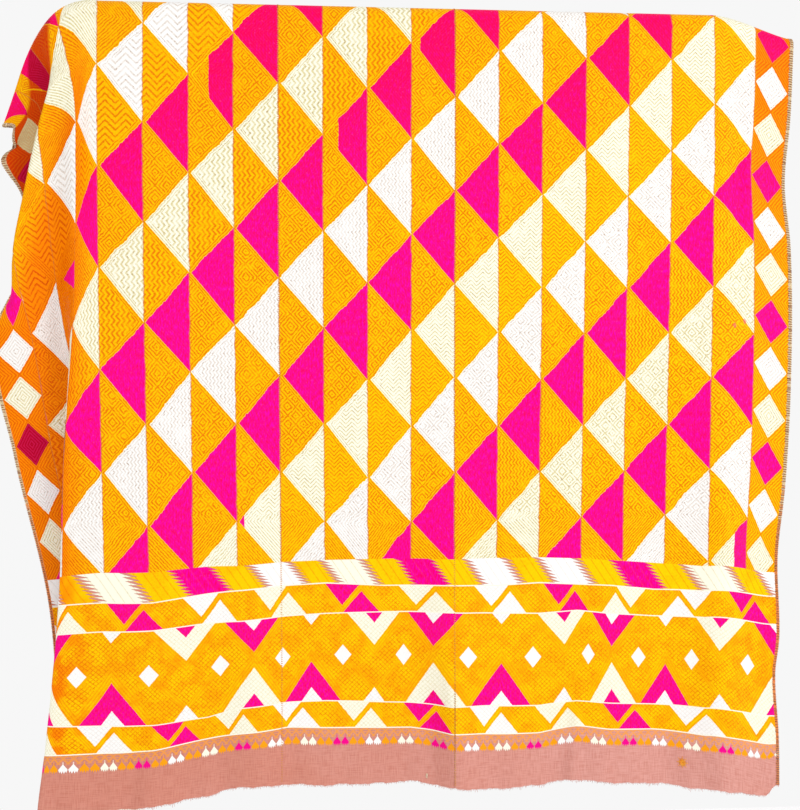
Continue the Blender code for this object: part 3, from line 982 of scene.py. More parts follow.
def floss_field():
    """The field: two-column lozenges, one half gold and the other in its diagonal's silk."""
    silks = Silks("floss_field")
    tree, across, down, shake = silks.tree, silks.across, silks.down, silks.shake
    column = silks.pattern[0] + silks.sway * 0.05 + shake * 0.02
    row = silks.pattern[1] + shake * 0.022 + silks.sway * 0.034
    count = column.floor()
    part = column - count
    steps = row + count * 0.5
    near = (steps + 0.5).floor()
    off = abs(steps - near)
    blunt = (near * 3.7 + count * 6.1).fraction() * TIP_GAP_SPREAD + TIP_GAP
    slant = (part - blunt) * 0.5 / (1.0 - blunt)
    light = off < slant
    diagonal = choose(light, near, steps.floor())
    side = abs(off - slant) * SIDE_SCALE

    def at(slip):
        """1 in the lozenge of the slip."""
        return (abs(diagonal - slip.diagonal) < 0.5) * (abs(count - slip.column) < 0.5)

    for slip in SLIPS:
        light = light * (1.0 - at(slip) * (part < slip.share))
    light = light * (1.0 - at(SMALL) * (off > (part - SMALL.share) * 0.22))
    swapped = at(SWAPPED)

    # The small pattern of each half, as a phase that is a whole number along each of its stitch lines.
    tilt = (steps - choose(light, near, steps.floor() + 0.5)) * 2.0
    light_kind, light_size, light_rings = filling_chart(tree, diagonal, LIGHT_ROWS)
    light_kind = choose(swapped, NESTED, light_kind)
    light_rings = choose(swapped, MOST_RINGS, light_rings)
    gold_filling = filling_chart(tree, diagonal, GOLD_ROWS)
    light_filling = (light_kind, light_size, light_rings)
    kind, size, rings = (choose(light, *either) for either in zip(light_filling, gold_filling))
    nest = size * DIAMOND_SHARE
    rises, falls = (abs((way / nest).fraction() - 0.5) for way in (part + tilt, part - tilt))
    diamonds = rises.most(falls) * rings * 2.0
    level = (down / size + zigzag(across / size / LEVEL_ZIGZAG) * LEVEL_RISE) / LEVEL_PITCH
    upright = (across / size + zigzag(down / size / UPRIGHT_ZIGZAG) * UPRIGHT_SWING) / UPRIGHT_PITCH
    along_side = side / SIDE_PITCH + 0.5
    zigzags = choose(kind < UPRIGHT - 0.5, level, upright)
    phase = choose(kind < NESTED - 0.5, zigzags, choose(kind < SLANTED - 0.5, diamonds, along_side))
    near_band = (FRONT_DROP - LAST_ROWS - down).least(down + BACK_DROP - LAST_ROWS) < 0.0
    phase = choose((side < EDGE_ROWS).most(near_band), along_side, phase)
    strength = silks.patches(0.016, layer=5.0).rise(0.25, 0.55) * 0.45 + 0.50
    broken = silks.fine.rise(0.30, 0.50) * 0.5 + 0.5
    width = choose(kind < UPRIGHT - 0.5, 0.25, 0.34)
    line = furrow(phase + shake * 0.30, width) * strength * broken
    line = line * (1.0 - (kind > SATIN - 0.5) * light * 0.75)
    bright_side = (1.0 - side.rise(0.0012, 0.0032)) * (1.0 - light)

    silk_row = diagonal - swapped - at(PINK_TIP) * (part < PINK_TIP.share)
    silk_row = silk_row + at(PINK_END) * (part > PINK_END.share)
    silk, silk_line, is_pink = silks.dyed(silk_row, FIRST_DIAGONAL, SILK_ROWS)
    # No bright side on the gold where shade is painted over the left folds, nor along the right border.
    gold = mix(tree, bright_side * 0.7 * (1.0 - silks.fold_shade_and_border), silks.gold, GOLD_LIGHT)
    line_colour = mix(tree, light, silks.gold_line, silk_line)
    colour = silks.lined(mix(tree, light, gold, silk), line, line_colour, light * (1.0 - is_pink))
    for darn_across, darn_down in DARNS:
        darn = abs(across - darn_across) * 1.3 + abs(down - darn_down) + shake * 0.004 < DARN_REACH
        colour = mix(tree, darn * 0.55, colour, PINK_LINE)

    to_line = abs((column + 0.5).fraction() - 0.5) * COLUMN
    gap = (1.0 - to_line.rise(0.0003, 0.0014)) * (shake * 1.8 + 0.60).held()
    return silks.laid(mix(tree, gap, colour, COLUMN_SHADE), line * 0.3 + gap * 0.6, gap * 0.35)


def floss_border():
    """The side borders: a row of diamonds on gold, all worked in rows along their slanting sides."""
    silks = Silks("floss_border")
    tree = silks.tree
    part, count = silks.pattern
    number = (count + 0.5).floor()
    on_left = silks.across < BORDER
    reach = abs(part - DIAMOND_OFF) / DIAMOND_WIDE + abs(count - number) / DIAMOND_HIGH + silks.shake * 0.09
    inside = reach < 1.0
    cycle = (number / 3.0 + 0.01).fraction() * 3.0
    cycle = cycle * (1.0 - on_left * (abs(number - EXTRA_PINK) < 0.5))
    silk, silk_line, is_pink = silks.dyed(cycle, 0, "PWC")
    silk = mix(tree, on_left * (abs(number - CRIMSON_DIAMOND) < 0.5), silk, PINK_SHADE_AND_CRIMSON)
    line = furrow(abs(reach - 1.0) * DIAMOND_SCALE / SIDE_PITCH + 0.5, 0.33) * (silks.fine * 0.6 + 0.45)
    line = line * (1.0 - inside * is_pink * 0.6)
    line_colour = mix(tree, inside, silks.gold_line, silk_line)
    colour = silks.lined(mix(tree, inside, silks.gold, silk), line, line_colour, inside * (1.0 - is_pink))
    gap = (1.0 - (1.0 - part).rise(0.01, 0.05)) * 0.7
    colour = silks.edged(mix(tree, gap, colour, COLUMN_SHADE))
    return silks.laid(colour, line * 0.3 + gap * 0.6, gap * 0.3)


def khaddar_weave(tree, across, down):
    """Handspun plain weave: uneven threads each way. Gives its colour and height."""
    warp = mottle(tree, spot(tree, across, down * THREAD_STRETCH), THREAD)
    weft = mottle(tree, spot(tree, across * THREAD_STRETCH, down), THREAD)
    broad = mottle(tree, spot(tree, across, down, 7.0), 0.12, 3.0)
    weave = (warp + weft) * 0.5
    tone = broad - 0.5 + across.rise(*PALER_ACROSS_GROUND)
    colour = mix(tree, tone.held(), GROUND, GROUND_LIGHT)
    return mix(tree, weave.rise(0.42, 0.62) * 0.45, colour, GROUND_DARK), weave


def saw_band():
    """The saw band: slanting bars in turn gold and in colour, with long teeth and ground between them."""
    silks = Silks("saw_band")
    tree = silks.tree
    count, share = silks.pattern
    slid = count - share * BAR_LEAN
    number = (slid + 0.25).floor()
    part = (slid - number) * SAW_PITCH
    into = part.least(BAR - part) + silks.shake * 0.002
    across_teeth = choose(part < BAR / 2, (share * TEETH).fraction(), (share * -TEETH).fraction())
    tooth = (across_teeth - 0.5) * TOOTH
    inside = into > tooth
    silk, silk_line, is_pink = silks.dyed(number, 0, SAW_LETTERS)
    ground = (1.0 - inside) * (into > (tooth * 0.8 - BARE_TOOTH + is_pink * BARE_TOOTH_LESS))
    line = furrow((silks.across * 0.8 - silks.down * 0.56) / BAR_ROWS, 0.10) * (silks.fine * 0.8)
    gold = mix(tree, silks.broad.rise(0.3, 0.6) * 0.8, silks.gold, GOLD_LIGHT)
    line_colour = mix(tree, inside, silks.gold_line, silk_line)
    colour = silks.lined(mix(tree, inside, gold, silk), line, line_colour, inside * 0.5)
    return silks.laid(silks.edged(mix(tree, ground, colour, GROUND)), line * 0.4 + ground, ground * 0.35)


def cream_line(tree, share, name, colour):
    """The colour, with the line of cream silk along the top of the band of that name."""
    bands = [band.name for band in BANDS]
    band, below = BANDS[bands.index(name)], BANDS[bands.index(name) + 1]
    return mix(tree, share < EDGE_LINE / (band.from_hem - below.from_hem), colour, CREAM)


def pair_band(name, letters, mirrored):
    """A narrow band: pairs of triangles of one silk, one hanging and one standing, some of them mirrored."""
    silks = Silks(name)
    tree = silks.tree
    count, share = silks.pattern
    number = (count + 0.5).floor()
    turned = (number > mirrored[0] - 0.5) * (number < mirrored[1] + 0.5)
    part = (count - number) * (1.0 - turned * 2.0) + silks.shake * 0.02
    hanging = share / HANGING_HIGH + abs(part + PAIR_APART) / PAIR_WIDE
    standing = (1.0 - share) / STANDING_HIGH + abs(part - PAIR_APART) / PAIR_WIDE
    reach = hanging.least(standing)
    inside = reach < 1.0
    silk, silk_line, is_pink = silks.dyed(number, 0, letters)
    along = furrow((reach - 1.0) * PAIR_SCALE / SIDE_PITCH + 0.5, 0.30) * (silks.fine * 0.6 + 0.15)
    line = choose((reach < 1.55) * (1.0 - inside), along, silks.basket(0.0070) * (1.0 - inside * 0.4))
    line_colour = mix(tree, inside, silks.gold_line, silk_line)
    colour = mix(tree, inside, silks.band_gold(), silk)
    colour = silks.lined(colour, line, line_colour, inside * (1.0 - is_pink) * 0.6)
    return silks.laid(silks.edged(cream_line(tree, share, name, colour)), line * 0.5)


def lozenge_band():
    """The broad band: big gold lozenges with a small white one in each, and triangles between them."""
    silks = Silks("lozenge_band")
    tree = silks.tree
    count, share = silks.pattern
    number = (count + 0.5).floor()
    off = abs(count - number)
    cycle = ((number + 1.0) / 3.0 + 0.01).fraction() * 3.0
    basket = silks.basket(0.0072)
    figures = []
    for figure in BAND_FIGURES:
        from_line = 1.0 - share if figure.at_foot else share
        reach = from_line / figure.high + (off + silks.shake * 0.015) / figure.half
        figures.append(reach + (abs(cycle - figure.missing) < 0.3) * 9.0 if figure.missing else reach)
    white = abs(off - 0.5) / WHITE_WIDE + abs(share - WHITE_MIDDLE) / WHITE_HIGH + silks.shake * 0.08
    reach = figures[0].least(figures[2]).least(white)
    along = furrow((reach - 1.0) * LOZENGE_SCALE / FIGURE_ROWS + 0.5, 0.30) * (silks.fine * 0.6 + 0.15)
    near_lines = (reach < 1.38) + (abs(off - 0.5 + (share - WHITE_MIDDLE) * 1.25) < 0.05)
    gold_line = choose(near_lines.held(), along.most(basket * 0.4), basket)
    colour = mix(tree, gold_line, silks.band_gold(), silks.gold_line)
    for figure, reach in zip(BAND_FIGURES, figures):
        silk, silk_line, is_pink = silks.dyed(cycle, 0, figure.silks)
        silk = silks.lined(silk, basket * 0.6, silk_line, (1.0 - is_pink) * 0.6)
        colour = mix(tree, reach < 1.0, colour, silk)
    colour = mix(tree, white < 1.0, colour, WHITE)
    return silks.laid(silks.edged(cream_line(tree, share, "lozenge_band", colour)), gold_line * 0.5)


def hem_border():
    """The last border: running lines and a row of small gold, white and pink spades on the bare ground."""
    finish, tree, shader = new_finish("hem_border", specular=0.10)
    across, down, count, share = cloth_readings(tree)
    colour, weave = khaddar_weave(tree, across, down)
    number = count.floor()
    part = abs(count - number - 0.5)
    rises, falls = (furrow(share / LATTICE_HIGH + way, 0.18) for way in (count, count * -1.0))
    running = furrow((share - 0.12) / 0.13, 0.20) * (share < 0.30)
    lattice = rises.most(falls).most(running) * (share < 0.50)
    stem = (part < 0.05) * (share > 0.38) * (share < 0.70)
    fall = (share - SPADE_TOP) / (SPADE_FOOT - SPADE_TOP)
    wide = (fall * 0.78).least(0.47).least(0.70 - fall * 0.36)
    prongs = 0.97 - abs((count * 4.0).fraction() - 0.5) * 0.26
    spade = (part < wide) * (share < prongs)
    cycle = ((number / 2.0).floor() / 6.0 + 0.01).fraction() * 6.0
    silk = chart(tree, cycle, 0, "PGWGCG", {**SILKS, "G": SPADE_GOLD})
    colour = mix(tree, lattice * (weave * 1.5).held() * 0.85, colour, SPADE_GOLD)
    colour = mix(tree, stem * 0.7, colour, silk)
    colour = cream_line(tree, share, "hem_border", mix(tree, spade, colour, silk))
    wear(tree, shader, colour, weave * 0.2 + 0.65, weave + spade * 0.6, GROUND_RELIEF)
    return finish


def plain_khaddar():
    """The bare hem: handspun cotton, dyed terracotta, soft and slubby, with its end left raw."""
    finish, tree, shader = new_finish("plain_khaddar", sheen=0.10, specular=0.08)
    colour, weave = khaddar_weave(tree, *cloth_readings(tree)[:2])
    wear(tree, shader, colour, weave * 0.15 + 0.78, weave, GROUND_RELIEF)
    return finish


def wrong_side():
    """The back of the work: bare ground with the tiny dots that each row of silk leaves."""
    finish, tree, shader = new_finish("wrong_side", sheen=0.10, specular=0.08)
    across, down = cloth_readings(tree)[:2]
    colour, weave = khaddar_weave(tree, across, down)
    colour = mix(tree, 0.55, colour, GROUND_DARK)
    column = across / DOT_PITCH
    dots = furrow(column, 0.2) * furrow(down / DOT_PITCH + column.floor() * 0.5, 0.25)
    colour = mix(tree, dots * 0.7, colour, GOLD_DEEP)
    wear(tree, shader, colour, weave * 0.15 + 0.75, weave + dots * 0.5, GROUND_RELIEF)
    return finish


CLOTH_FINISHES = (
    floss_field(), floss_border(), saw_band(), pair_band("upper_pairs", "WPCPWCPCWPCWPC", (10, 11)),
    pair_band("lower_pairs", "PWCWPCWCPWCPWCP", (40, 41)), lozenge_band(), hem_border(), plain_khaddar(),
    wrong_side(),
)


Strip = namedtuple("Strip", "piece acrosses downs middle out")
CUT_EDGE = math.radians(50)  # the cloth's cut edges turn more sharply than this, and its folds less
FACE_PULL = 1e-4             # keeps a face's corners in its own column of the pattern


def region_at(name, across):
    """The region of a place in a row: the side borders run down beside the field."""
    if name == "field" and across < BORDER:
        return "left_border"
    if name == "field" and across > CLOTH_WIDTH - BORDER:
        return "right_border"
    return name


def drape(acrosses, downs):
    """The middle of the cloth's wall, and its direction outwards, at each place of a grid."""
    across, down = np.meshgrid(acrosses, downs)
    down = down + wander(across, down)
    middle = np.array([[cloth_point(*place) for place in zip(*row)] for row in zip(across, down)])
    out = np.cross(np.gradient(middle, axis=0), np.gradient(middle, axis=1))
    out /= np.linalg.norm(out, axis=2, keepdims=True)
    return middle + out * relief(across, down)[..., None], out


def mark_pattern(mesh, names, across, down):
    """Gives each face its finish, and each corner its place on the cloth and in the pattern."""
    lower = wander(across, down)
    inside = across + (across.mean(axis=-1, keepdims=True) - across) * FACE_PULL
    regions = np.array([[region_at(name, place) for place in across[0].mean(axis=-1)] for name in names])
    pattern = np.zeros((*across.shape, 2))
    finishes = np.zeros(regions.shape, dtype=int)
    for region, finish in REGION_FINISH.items():
        here = regions == region
        shift = lower if region in ("field", "left_border", "right_border") else 0.0
        pattern[here] = np.stack(pattern_place(region, inside[here], (down + shift)[here]), axis=-1)
        finishes[here] = finish
    mesh.polygons.foreach_set("material_index", finishes.ravel())
    cloth = np.stack([across, down + lower], axis=-1)
    mesh.uv_layers.new(name="cloth").data.foreach_set("uv", cloth.ravel())
    mesh.uv_layers.new(name="pattern").data.foreach_set("uv", pattern.ravel())


def add_object(name, data):
    """Puts a mesh, a light or a lens into the scene."""
    added = bpy.data.objects.new(name, data)
    bpy.context.scene.collection.objects.link(added)
    return added


def give_wall(strip):
    """Makes the open sheet as thick as the cloth, with its wrong side in its own finish."""
    wall = strip.modifiers.new("wall", "SOLIDIFY")
    wall.thickness = WALL
    wall.offset = 0.0
    wall.material_offset = len(CLOTH_FINISHES)
    walled = bpy.data.meshes.new_from_object(strip.evaluated_get(bpy.context.evaluated_depsgraph_get()))
    walled.set_sharp_from_angle(angle=CUT_EDGE)
    strip.modifiers.clear()
    strip.data = walled
    walled.name = strip.name


def make_strip(name, start, end):
    """One length of khaddar, from hem to hem over the rail."""
    acrosses = np.array(columns_of(start, end))
    front_downs, front_names = rows_of(FRONT_DROP)
    back_downs, back_names = rows_of(BACK_DROP)
    downs = np.array([-down for down in reversed(back_downs[1:])] + front_downs)
    names = back_names[::-1] + front_names
    middle, out = drape(acrosses, downs)

    wide = len(acrosses)
    rows, columns = np.meshgrid(np.arange(len(names)), np.arange(wide - 1), indexing="ij")
    corner_rows = np.stack([rows, rows + 1, rows + 1, rows], axis=-1)
    corner_columns = np.stack([columns, columns, columns + 1, columns + 1], axis=-1)
    faces = (corner_rows * wide + corner_columns).reshape(-1, 4)
    mesh = bpy.data.meshes.new(name)
    mesh.from_pydata(middle.reshape(-1, 3), [], faces.tolist())
    mesh.polygons.foreach_set("use_smooth", [True] * len(faces))
    mark_pattern(mesh, names, acrosses[corner_columns], downs[corner_rows])
    for finish in CLOTH_FINISHES:
        mesh.materials.append(finish)
    strip = add_object(name, mesh)
    give_wall(strip)
    return Strip(strip, acrosses, downs, middle, out)


def hang(strip, node):
    """Fixes a strip in its place on the rail, in place of the plain solid."""
    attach(strip.piece, "root")
    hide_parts(node)


left_strip = make_strip("left_khaddar", 0.0, SEAM_LEFT - SEAM_GAP / 2)
hang(left_strip, "strip_left")


# ---------------------------------------------------------------------------------------------------------
# The centre strip: a narrower length of the same khaddar, four columns of the pattern wide. It lies over
# the rail between the other two and is sewn to both along its selvedges.

centre_strip = make_strip("centre_khaddar", SEAM_LEFT + SEAM_GAP / 2, SEAM_RIGHT - SEAM_GAP / 2)
hang(centre_strip, "strip_centre")


# ---------------------------------------------------------------------------------------------------------
# The right strip: the length with the right side border. It runs past the rail's end, so its edge sags and
# swings a little as it falls.

right_strip = make_strip("right_khaddar", SEAM_RIGHT + SEAM_GAP / 2, CLOTH_WIDTH)
hang(right_strip, "strip_right")


# ---------------------------------------------------------------------------------------------------------
# The seams: each pair of strips is sewn selvedge to selvedge with one cotton thread, whipped round and
# round the two edges. Its short slanting stitches show on both sides.

SEAM_STITCH = 0.0032
SEAM_BITE = 0.0015
SEAM_THREAD = 0.00042
SEAM_MARGIN = 0.002         # the thread is fastened off this far from each hem
THREAD_PATCH = 0.003
THREAD_RELIEF = 0.0002

# One turn of the thread: how far across the seam, against its bite, and how far out, against half the wall.
SEAM_TURN = ((-1.0, 0.0), (-0.6, 1.2), (0.0, 1.6), (0.6, 1.2), (1.0, 0.0), (0.6, -1.2), (0.0, -1.6),
             (-0.6, -1.2))


def lay(strip, across, down, lift):
    """Places on a strip, as far out from the middle of its wall as the lift, for arrays of places on it."""
    i = np.clip(np.searchsorted(strip.downs, down) - 1, 0, len(strip.downs) - 2)
    j = np.clip(np.searchsorted(strip.acrosses, across) - 1, 0, len(strip.acrosses) - 2)
    u = ((down - strip.downs[i]) / (strip.downs[i + 1] - strip.downs[i]))[..., None]
    v = ((across - strip.acrosses[j]) / (strip.acrosses[j + 1] - strip.acrosses[j]))[..., None]
    middle, out = ((1 - u) * ((1 - v) * grid[i, j] + v * grid[i, j + 1])
                   + u * ((1 - v) * grid[i + 1, j] + v * grid[i + 1, j + 1])
                   for grid in (strip.middle, strip.out))
    return middle + out * lift[..., None]


def spin(name, paths, beside, radius, finishes, kinds=None, sides=4):
    """Round threads along paths, given as arrays of points, each crossing the direction beside it."""
    run = np.gradient(paths, axis=1)
    first = np.cross(run, beside)
    first /= np.linalg.norm(first, axis=2, keepdims=True)
    second = np.cross(run, first)
    second /= np.linalg.norm(second, axis=2, keepdims=True)
    turns = np.arange(sides) * 2 * math.pi / sides
    ring = first[:, :, None] * np.cos(turns)[:, None] + second[:, :, None] * np.sin(turns)[:, None]
    points = paths[:, :, None] + ring * radius
    count, long = paths.shape[:2]
    counts = (np.arange(size) for size in (count, long - 1, sides))
    thread, along, side = np.meshgrid(*counts, indexing="ij")
    low = (thread * long + along) * sides
    after = (side + 1) % sides
    walls = np.stack([low + side, low + after, low + sides + after, low + sides + side], axis=-1)
    ends = [[(n * long + end) * sides + turn for turn in order] for n in range(count)
            for end, order in ((0, range(sides - 1, -1, -1)), (long - 1, range(sides)))]
    mesh = bpy.data.meshes.new(name)
    mesh.from_pydata(points.reshape(-1, 3), [], walls.reshape(-1, 4).tolist() + ends)
    kinds = np.zeros(count, dtype=int) if kinds is None else np.array(kinds)
    slots = np.concatenate([np.repeat(kinds, (long - 1) * sides), np.repeat(kinds, 2)])
    mesh.polygons.foreach_set("material_index", slots)
    mesh.polygons.foreach_set("use_smooth", [True] * len(slots))
    for finish in finishes:
        mesh.materials.append(finish)
    piece = add_object(name, mesh)
    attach(piece, "root")


def spun_thread(name, light, dark):
    """A thread's finish: twisted fibre, a little darker in places."""
    finish, tree, shader = new_finish(name, sheen=0.1, specular=0.05)
    patch = mottle(tree, tree.nodes.new("ShaderNodeTexCoord").outputs["Object"], THREAD_PATCH)
    colour = mix(tree, patch.rise(0.35, 0.65), light, dark)
    wear(tree, shader, colour, patch * 0.2 + 0.65, patch, THREAD_RELIEF)
    return finish


def sew_seam(name, strip, seam, finish):
    """Whips one seam from hem to hem."""
    stitches = int((LENGTH - 2 * SEAM_MARGIN) / SEAM_STITCH)
    turns = np.arange(stitches * len(SEAM_TURN))
    shape = np.array(SEAM_TURN)[turns % len(SEAM_TURN)]
    across = seam + shape[:, 0] * SEAM_BITE
    down = SEAM_MARGIN - BACK_DROP + turns * SEAM_STITCH / len(SEAM_TURN)
    path = lay(strip, across, down, shape[:, 1] * WALL / 2)
    along = np.gradient(lay(strip, np.full_like(down, seam), down, np.zeros_like(down)), axis=0)
    spin(name, path[None], along[None], SEAM_THREAD, [finish])


seam_cotton = spun_thread("seam_cotton", dye(232, 172, 84), dye(206, 132, 60))
sew_seam("seam_left", left_strip, SEAM_LEFT, seam_cotton)
sew_seam("seam_right", right_strip, SEAM_RIGHT, seam_cotton)


# ---------------------------------------------------------------------------------------------------------
# The edge stitches: both long edges are bound with blanket stitch in doubled silk, light and dark in turn.
# Each stitch grips the last few millimetres of the cloth and turns over its edge to the wrong side.

EDGE_STITCH = 0.00180
EDGE_THREAD = 0.00048
EDGE_MARGIN = 0.002         # the first stitch is this far from the back hem
EDGE_CHANGE = 0.72          # below this length down the light stitches are orange, and above it cream
EDGE_CHANGE_SPREAD = 0.06
MISSED_TURN = 0.06          # the share of stitches in which light and dark are swapped
STITCH_REACH = (0.80, 1.12)
LATE_REACH = 0.86           # the orange stitches reach less far
STITCH_SLANT = (-0.0006, 0.0012)

# One stitch, in millimetres: how far in from the edge, and how far out from the middle of the cloth's wall.
EDGE_TURN = ((6.4, 0.75), (5.8, 1.30), (3.0, 1.45), (0.6, 1.40), (-0.7, 0.30), (-0.4, -0.80), (1.2, -1.40),
             (3.4, -1.20))


def bind_edge(name, strip, edge, inward, bite, finishes, seed):
    """Works one edge from hem to hem: dark stitches, cream ones and orange ones."""
    draw = random.Random(seed)
    downs = np.arange(EDGE_MARGIN - BACK_DROP, FRONT_DROP - EDGE_MARGIN / 2, EDGE_STITCH)
    kinds = []
    lengths = []
    for i, down in enumerate(downs):
        late = down > EDGE_CHANGE + draw.uniform(-EDGE_CHANGE_SPREAD, EDGE_CHANGE_SPREAD)
        dark = i % 2 == (draw.random() < MISSED_TURN)
        kinds.append(0 if dark else 2 if late else 1)
        lengths.append(draw.uniform(*STITCH_REACH) * bite * (LATE_REACH if late else 1.0))
    shape = np.array(EDGE_TURN) / 1000
    reach = np.where(shape[:, 0] > 0, shape[:, 0] * np.array(lengths)[:, None], shape[:, 0])
    slants = np.array([draw.uniform(*STITCH_SLANT) for down in downs])
    down = downs[:, None] + slants[:, None] * reach / reach.max()
    paths = lay(strip, edge + inward * reach, down, np.broadcast_to(shape[:, 1], down.shape))
    inner = np.full_like(downs, edge + inward * EDGE_MARGIN)
    before, after = (lay(strip, inner, downs + step, np.zeros_like(downs)) for step in (-0.001, 0.001))
    spin(name, paths, (after - before)[:, None], EDGE_THREAD, finishes, kinds)


edge_silks = [
    spun_thread("edge_brown", dye(178, 118, 80), dye(140, 84, 58)),
    spun_thread("edge_cream", dye(246, 232, 198), dye(230, 204, 158)),
    spun_thread("edge_orange", dye(250, 168, 92), dye(226, 128, 74)),
]
bind_edge("edge_left", left_strip, 0.0, 1.0, 0.66, edge_silks, 11)
bind_edge("edge_right", right_strip, CLOTH_WIDTH, -1.0, 0.88, edge_silks, 12)


# ---------------------------------------------------------------------------------------------------------
# The hems: both ends of the cloth were cut and left raw. Their last weft threads have worked out, so the
# warp hangs past them in short uneven ends.

FRAY_STEP = 0.0011
FRAY_THREAD = 0.00024
FRAY_START = 0.0006         # how far in from a strip's edge the first end hangs
FRAY_ROOT = 0.0010          # how far inside the cloth each end starts
FRAY_LENGTH = (0.0008, 0.0028)
FRAY_LONG = 0.0030          # how much longer a few of them are
FRAY_LONG_SHARE = 0.12
FRAY_BEND = 0.0008
FRAY_SHIFT = 0.0004


def fray(name, hem, finish, seed):
    """Lets the warp ends of all three strips hang out of one hem."""
    draw = random.Random(seed)
    paths = []
    side = 1 if hem > 0 else -1
    for strip in (left_strip, centre_strip, right_strip):
        for across in np.arange(strip.acrosses[0] + FRAY_START, strip.acrosses[-1], FRAY_STEP):
            length = draw.uniform(*FRAY_LENGTH)
            length += (draw.random() < FRAY_LONG_SHARE) * draw.uniform(0.0, FRAY_LONG)
            shift = draw.uniform(-FRAY_BEND, FRAY_BEND)
            bend = draw.uniform(-FRAY_BEND, FRAY_BEND)
            start = across + draw.uniform(-FRAY_SHIFT, FRAY_SHIFT)
            down = hem + side * np.array([-FRAY_ROOT, length * 0.5, length])
            places = np.array([start, start + shift * 0.5, start + shift])
            paths.append(lay(strip, places, down, np.array([0.0, bend * 0.5, bend])))
    spin(name, np.array(paths), np.array([[[1.0, 0.0, 0.0]]]), FRAY_THREAD, [finish], sides=3)


warp_cotton = spun_thread("warp_cotton", dye(226, 158, 142), dye(206, 130, 112))
fray("fray_front", FRONT_DROP, warp_cotton, 21)
fray("fray_back", -BACK_DROP, warp_cotton, 22)


# ---------------------------------------------------------------------------------------------------------
# The maker's small extras on the bare hem: an eight-pointed star of gold silk below the last border, and a
# loop of cream cotton tacked beside the hem's fold.

STAR_ACROSS = 1.148
STAR_DOWN = 1.137
STAR_REACH = 0.0085
STAR_SHORT = 0.66           # the threads between its points reach this share of the way
STAR_THREADS = 24
STAR_THREAD = 0.00045
STAR_STEPS = (0.08, 0.5, 0.95, 1.0)
STAR_LIFTS = (0.0012, 0.0013, 0.0011, 0.0006)
LOOP_ACROSS = 0.744
LOOP_DOWN = 1.160
LOOP_THREAD = 0.0005

# The loop, in millimetres: how far across and down from its middle, and out from the cloth's middle.
LOOP_TURN = ((-0.3, 4.6, 0.7), (-0.8, 1.6, 1.5), (-0.4, -1.8, 1.6), (0.4, -2.6, 1.6), (0.9, 0.8, 1.5),
             (0.7, 4.8, 0.7))

beside_extras = np.array([[[0.0, 1.0, 0.0]]])
numbers = np.arange(STAR_THREADS)[:, None]
angles = numbers * 2 * math.pi / STAR_THREADS
reaches = np.where(numbers % 3 == 0, STAR_REACH, STAR_REACH * STAR_SHORT) * np.array(STAR_STEPS)
star_lifts = np.broadcast_to(STAR_LIFTS, reaches.shape)
star_paths = lay(right_strip, STAR_ACROSS + np.cos(angles) * reaches,
                 STAR_DOWN + np.sin(angles) * reaches, star_lifts)
star_silk = spun_thread("star_silk", dye(250, 180, 60), dye(240, 150, 50))
spin("hem_star", star_paths, beside_extras, STAR_THREAD, [star_silk])

loop_across, loop_down, loop_lift = np.array(LOOP_TURN).T / 1000
loop_path = lay(centre_strip, LOOP_ACROSS + loop_across, LOOP_DOWN + loop_down, loop_lift)
tack_cotton = spun_thread("tack_cotton", dye(244, 232, 206), dye(226, 206, 170))
spin("hem_tack", loop_path[None], beside_extras, LOOP_THREAD, [tack_cotton])


# ---------------------------------------------------------------------------------------------------------
# The studio: a pale floor in a bright even room, a broad soft light at the right, weaker ones in front and
# at the left, one behind, and the camera, level with the shawl's middle and a little to the left of it.

FLOOR_Z = -1.50
FLOOR_FRONT = -4.5
FLOOR_BACK = 1.2
FLOOR_HALF_WIDTH = 5.0
CLOUD_SIZE = 0.9
PAPER_RELIEF = 0.0005
ROOM_LIGHT = 0.93

SIGHT = Vector((0.0, 0.0, -0.573))
CAMERA_AWAY = 2.40
CAMERA_TURN = math.radians(5.5)
SENSOR_HEIGHT = 36.0
PICTURE_HEIGHT = 810
FOCAL_PIXELS = 1600

Lamp = namedtuple("Lamp", "name place aim wide high power")
LAMPS = (
    Lamp("key_softbox", (2.4, -2.5, 0.5), SIGHT, 1.7, 1.7, 52.0),
    Lamp("front_fill", (-0.6, -3.4, 0.2), SIGHT, 2.0, 2.0, 12.0),
    Lamp("left_fill", (-2.6, -1.9, 0.1), Vector((-0.4, 0.0, -0.5)), 1.2, 1.6, 8.0),
    Lamp("back_fill", (-1.6, 3.0, 0.9), SIGHT, 2.0, 2.0, 50.0),
)


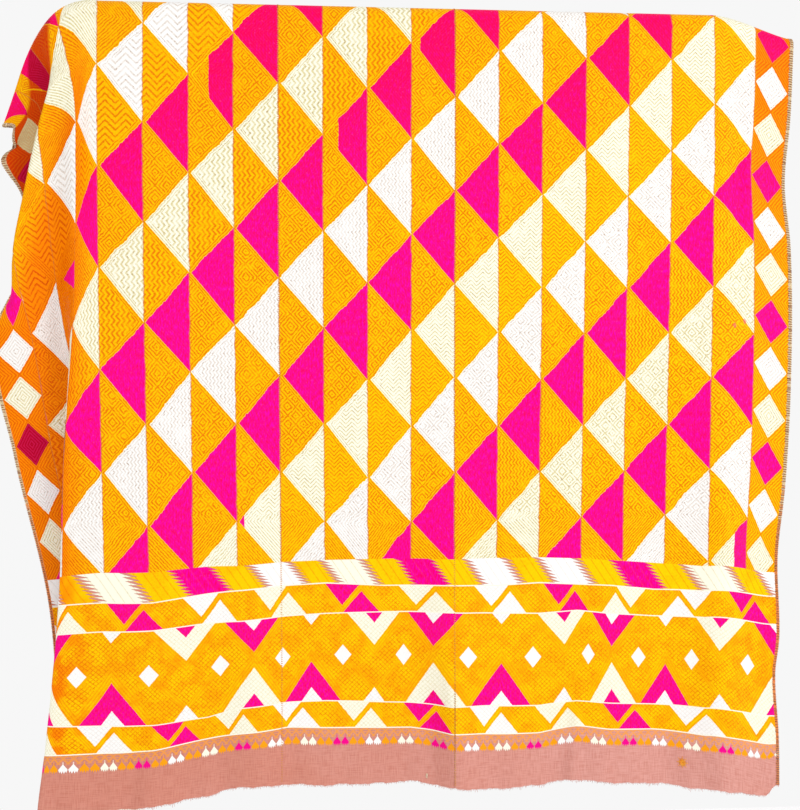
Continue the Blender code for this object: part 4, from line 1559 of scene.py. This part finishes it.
def pale_paper():
    """The floor's plain matt paper."""
    finish, tree, shader = new_finish("pale_paper", specular=0.1)
    cloud = mottle(tree, tree.nodes.new("ShaderNodeTexCoord").outputs["Object"], CLOUD_SIZE)
    colour = mix(tree, cloud, dye(248, 248, 250), dye(252, 252, 253))
    wear(tree, shader, colour, cloud * 0.1 + 0.85, cloud, PAPER_RELIEF)
    return finish


def aim_at(holder, place, aim):
    """Puts a light or the camera in its place, turned to what it points at."""
    holder.location = place
    holder.rotation_euler = (aim - Vector(place)).to_track_quat("-Z", "Y").to_euler()


corners = [(-FLOOR_HALF_WIDTH, FLOOR_FRONT, FLOOR_Z), (FLOOR_HALF_WIDTH, FLOOR_FRONT, FLOOR_Z),
           (FLOOR_HALF_WIDTH, FLOOR_BACK, FLOOR_Z), (-FLOOR_HALF_WIDTH, FLOOR_BACK, FLOOR_Z)]
studio_mesh = bpy.data.meshes.new("studio_floor")
studio_mesh.from_pydata(corners, [], [(0, 1, 2, 3)])
studio_mesh.materials.append(pale_paper())
studio = add_object("studio_floor", studio_mesh)

for lamp in LAMPS:
    light = bpy.data.lights.new(lamp.name, "AREA")
    light.shape = "RECTANGLE"
    light.size = lamp.wide
    light.size_y = lamp.high
    light.energy = lamp.power
    aim_at(add_object(lamp.name, light), lamp.place, lamp.aim)

world = bpy.data.worlds.new("soft_room")
world.use_nodes = True
background = world.node_tree.nodes["Background"]
background.inputs["Color"].default_value = (1.0, 1.0, 1.0, 1.0)
background.inputs["Strength"].default_value = ROOM_LIGHT
bpy.context.scene.world = world
bpy.context.scene.view_settings.view_transform = "Standard"

lens = bpy.data.cameras.new("camera")
lens.sensor_fit = "VERTICAL"
lens.sensor_height = SENSOR_HEIGHT
lens.lens = SENSOR_HEIGHT * FOCAL_PIXELS / PICTURE_HEIGHT
camera = add_object("camera", lens)
from_shawl = Vector((math.sin(CAMERA_TURN), math.cos(CAMERA_TURN), 0.0))
aim_at(camera, SIGHT - CAMERA_AWAY * from_shawl, SIGHT)
bpy.context.scene.camera = camera
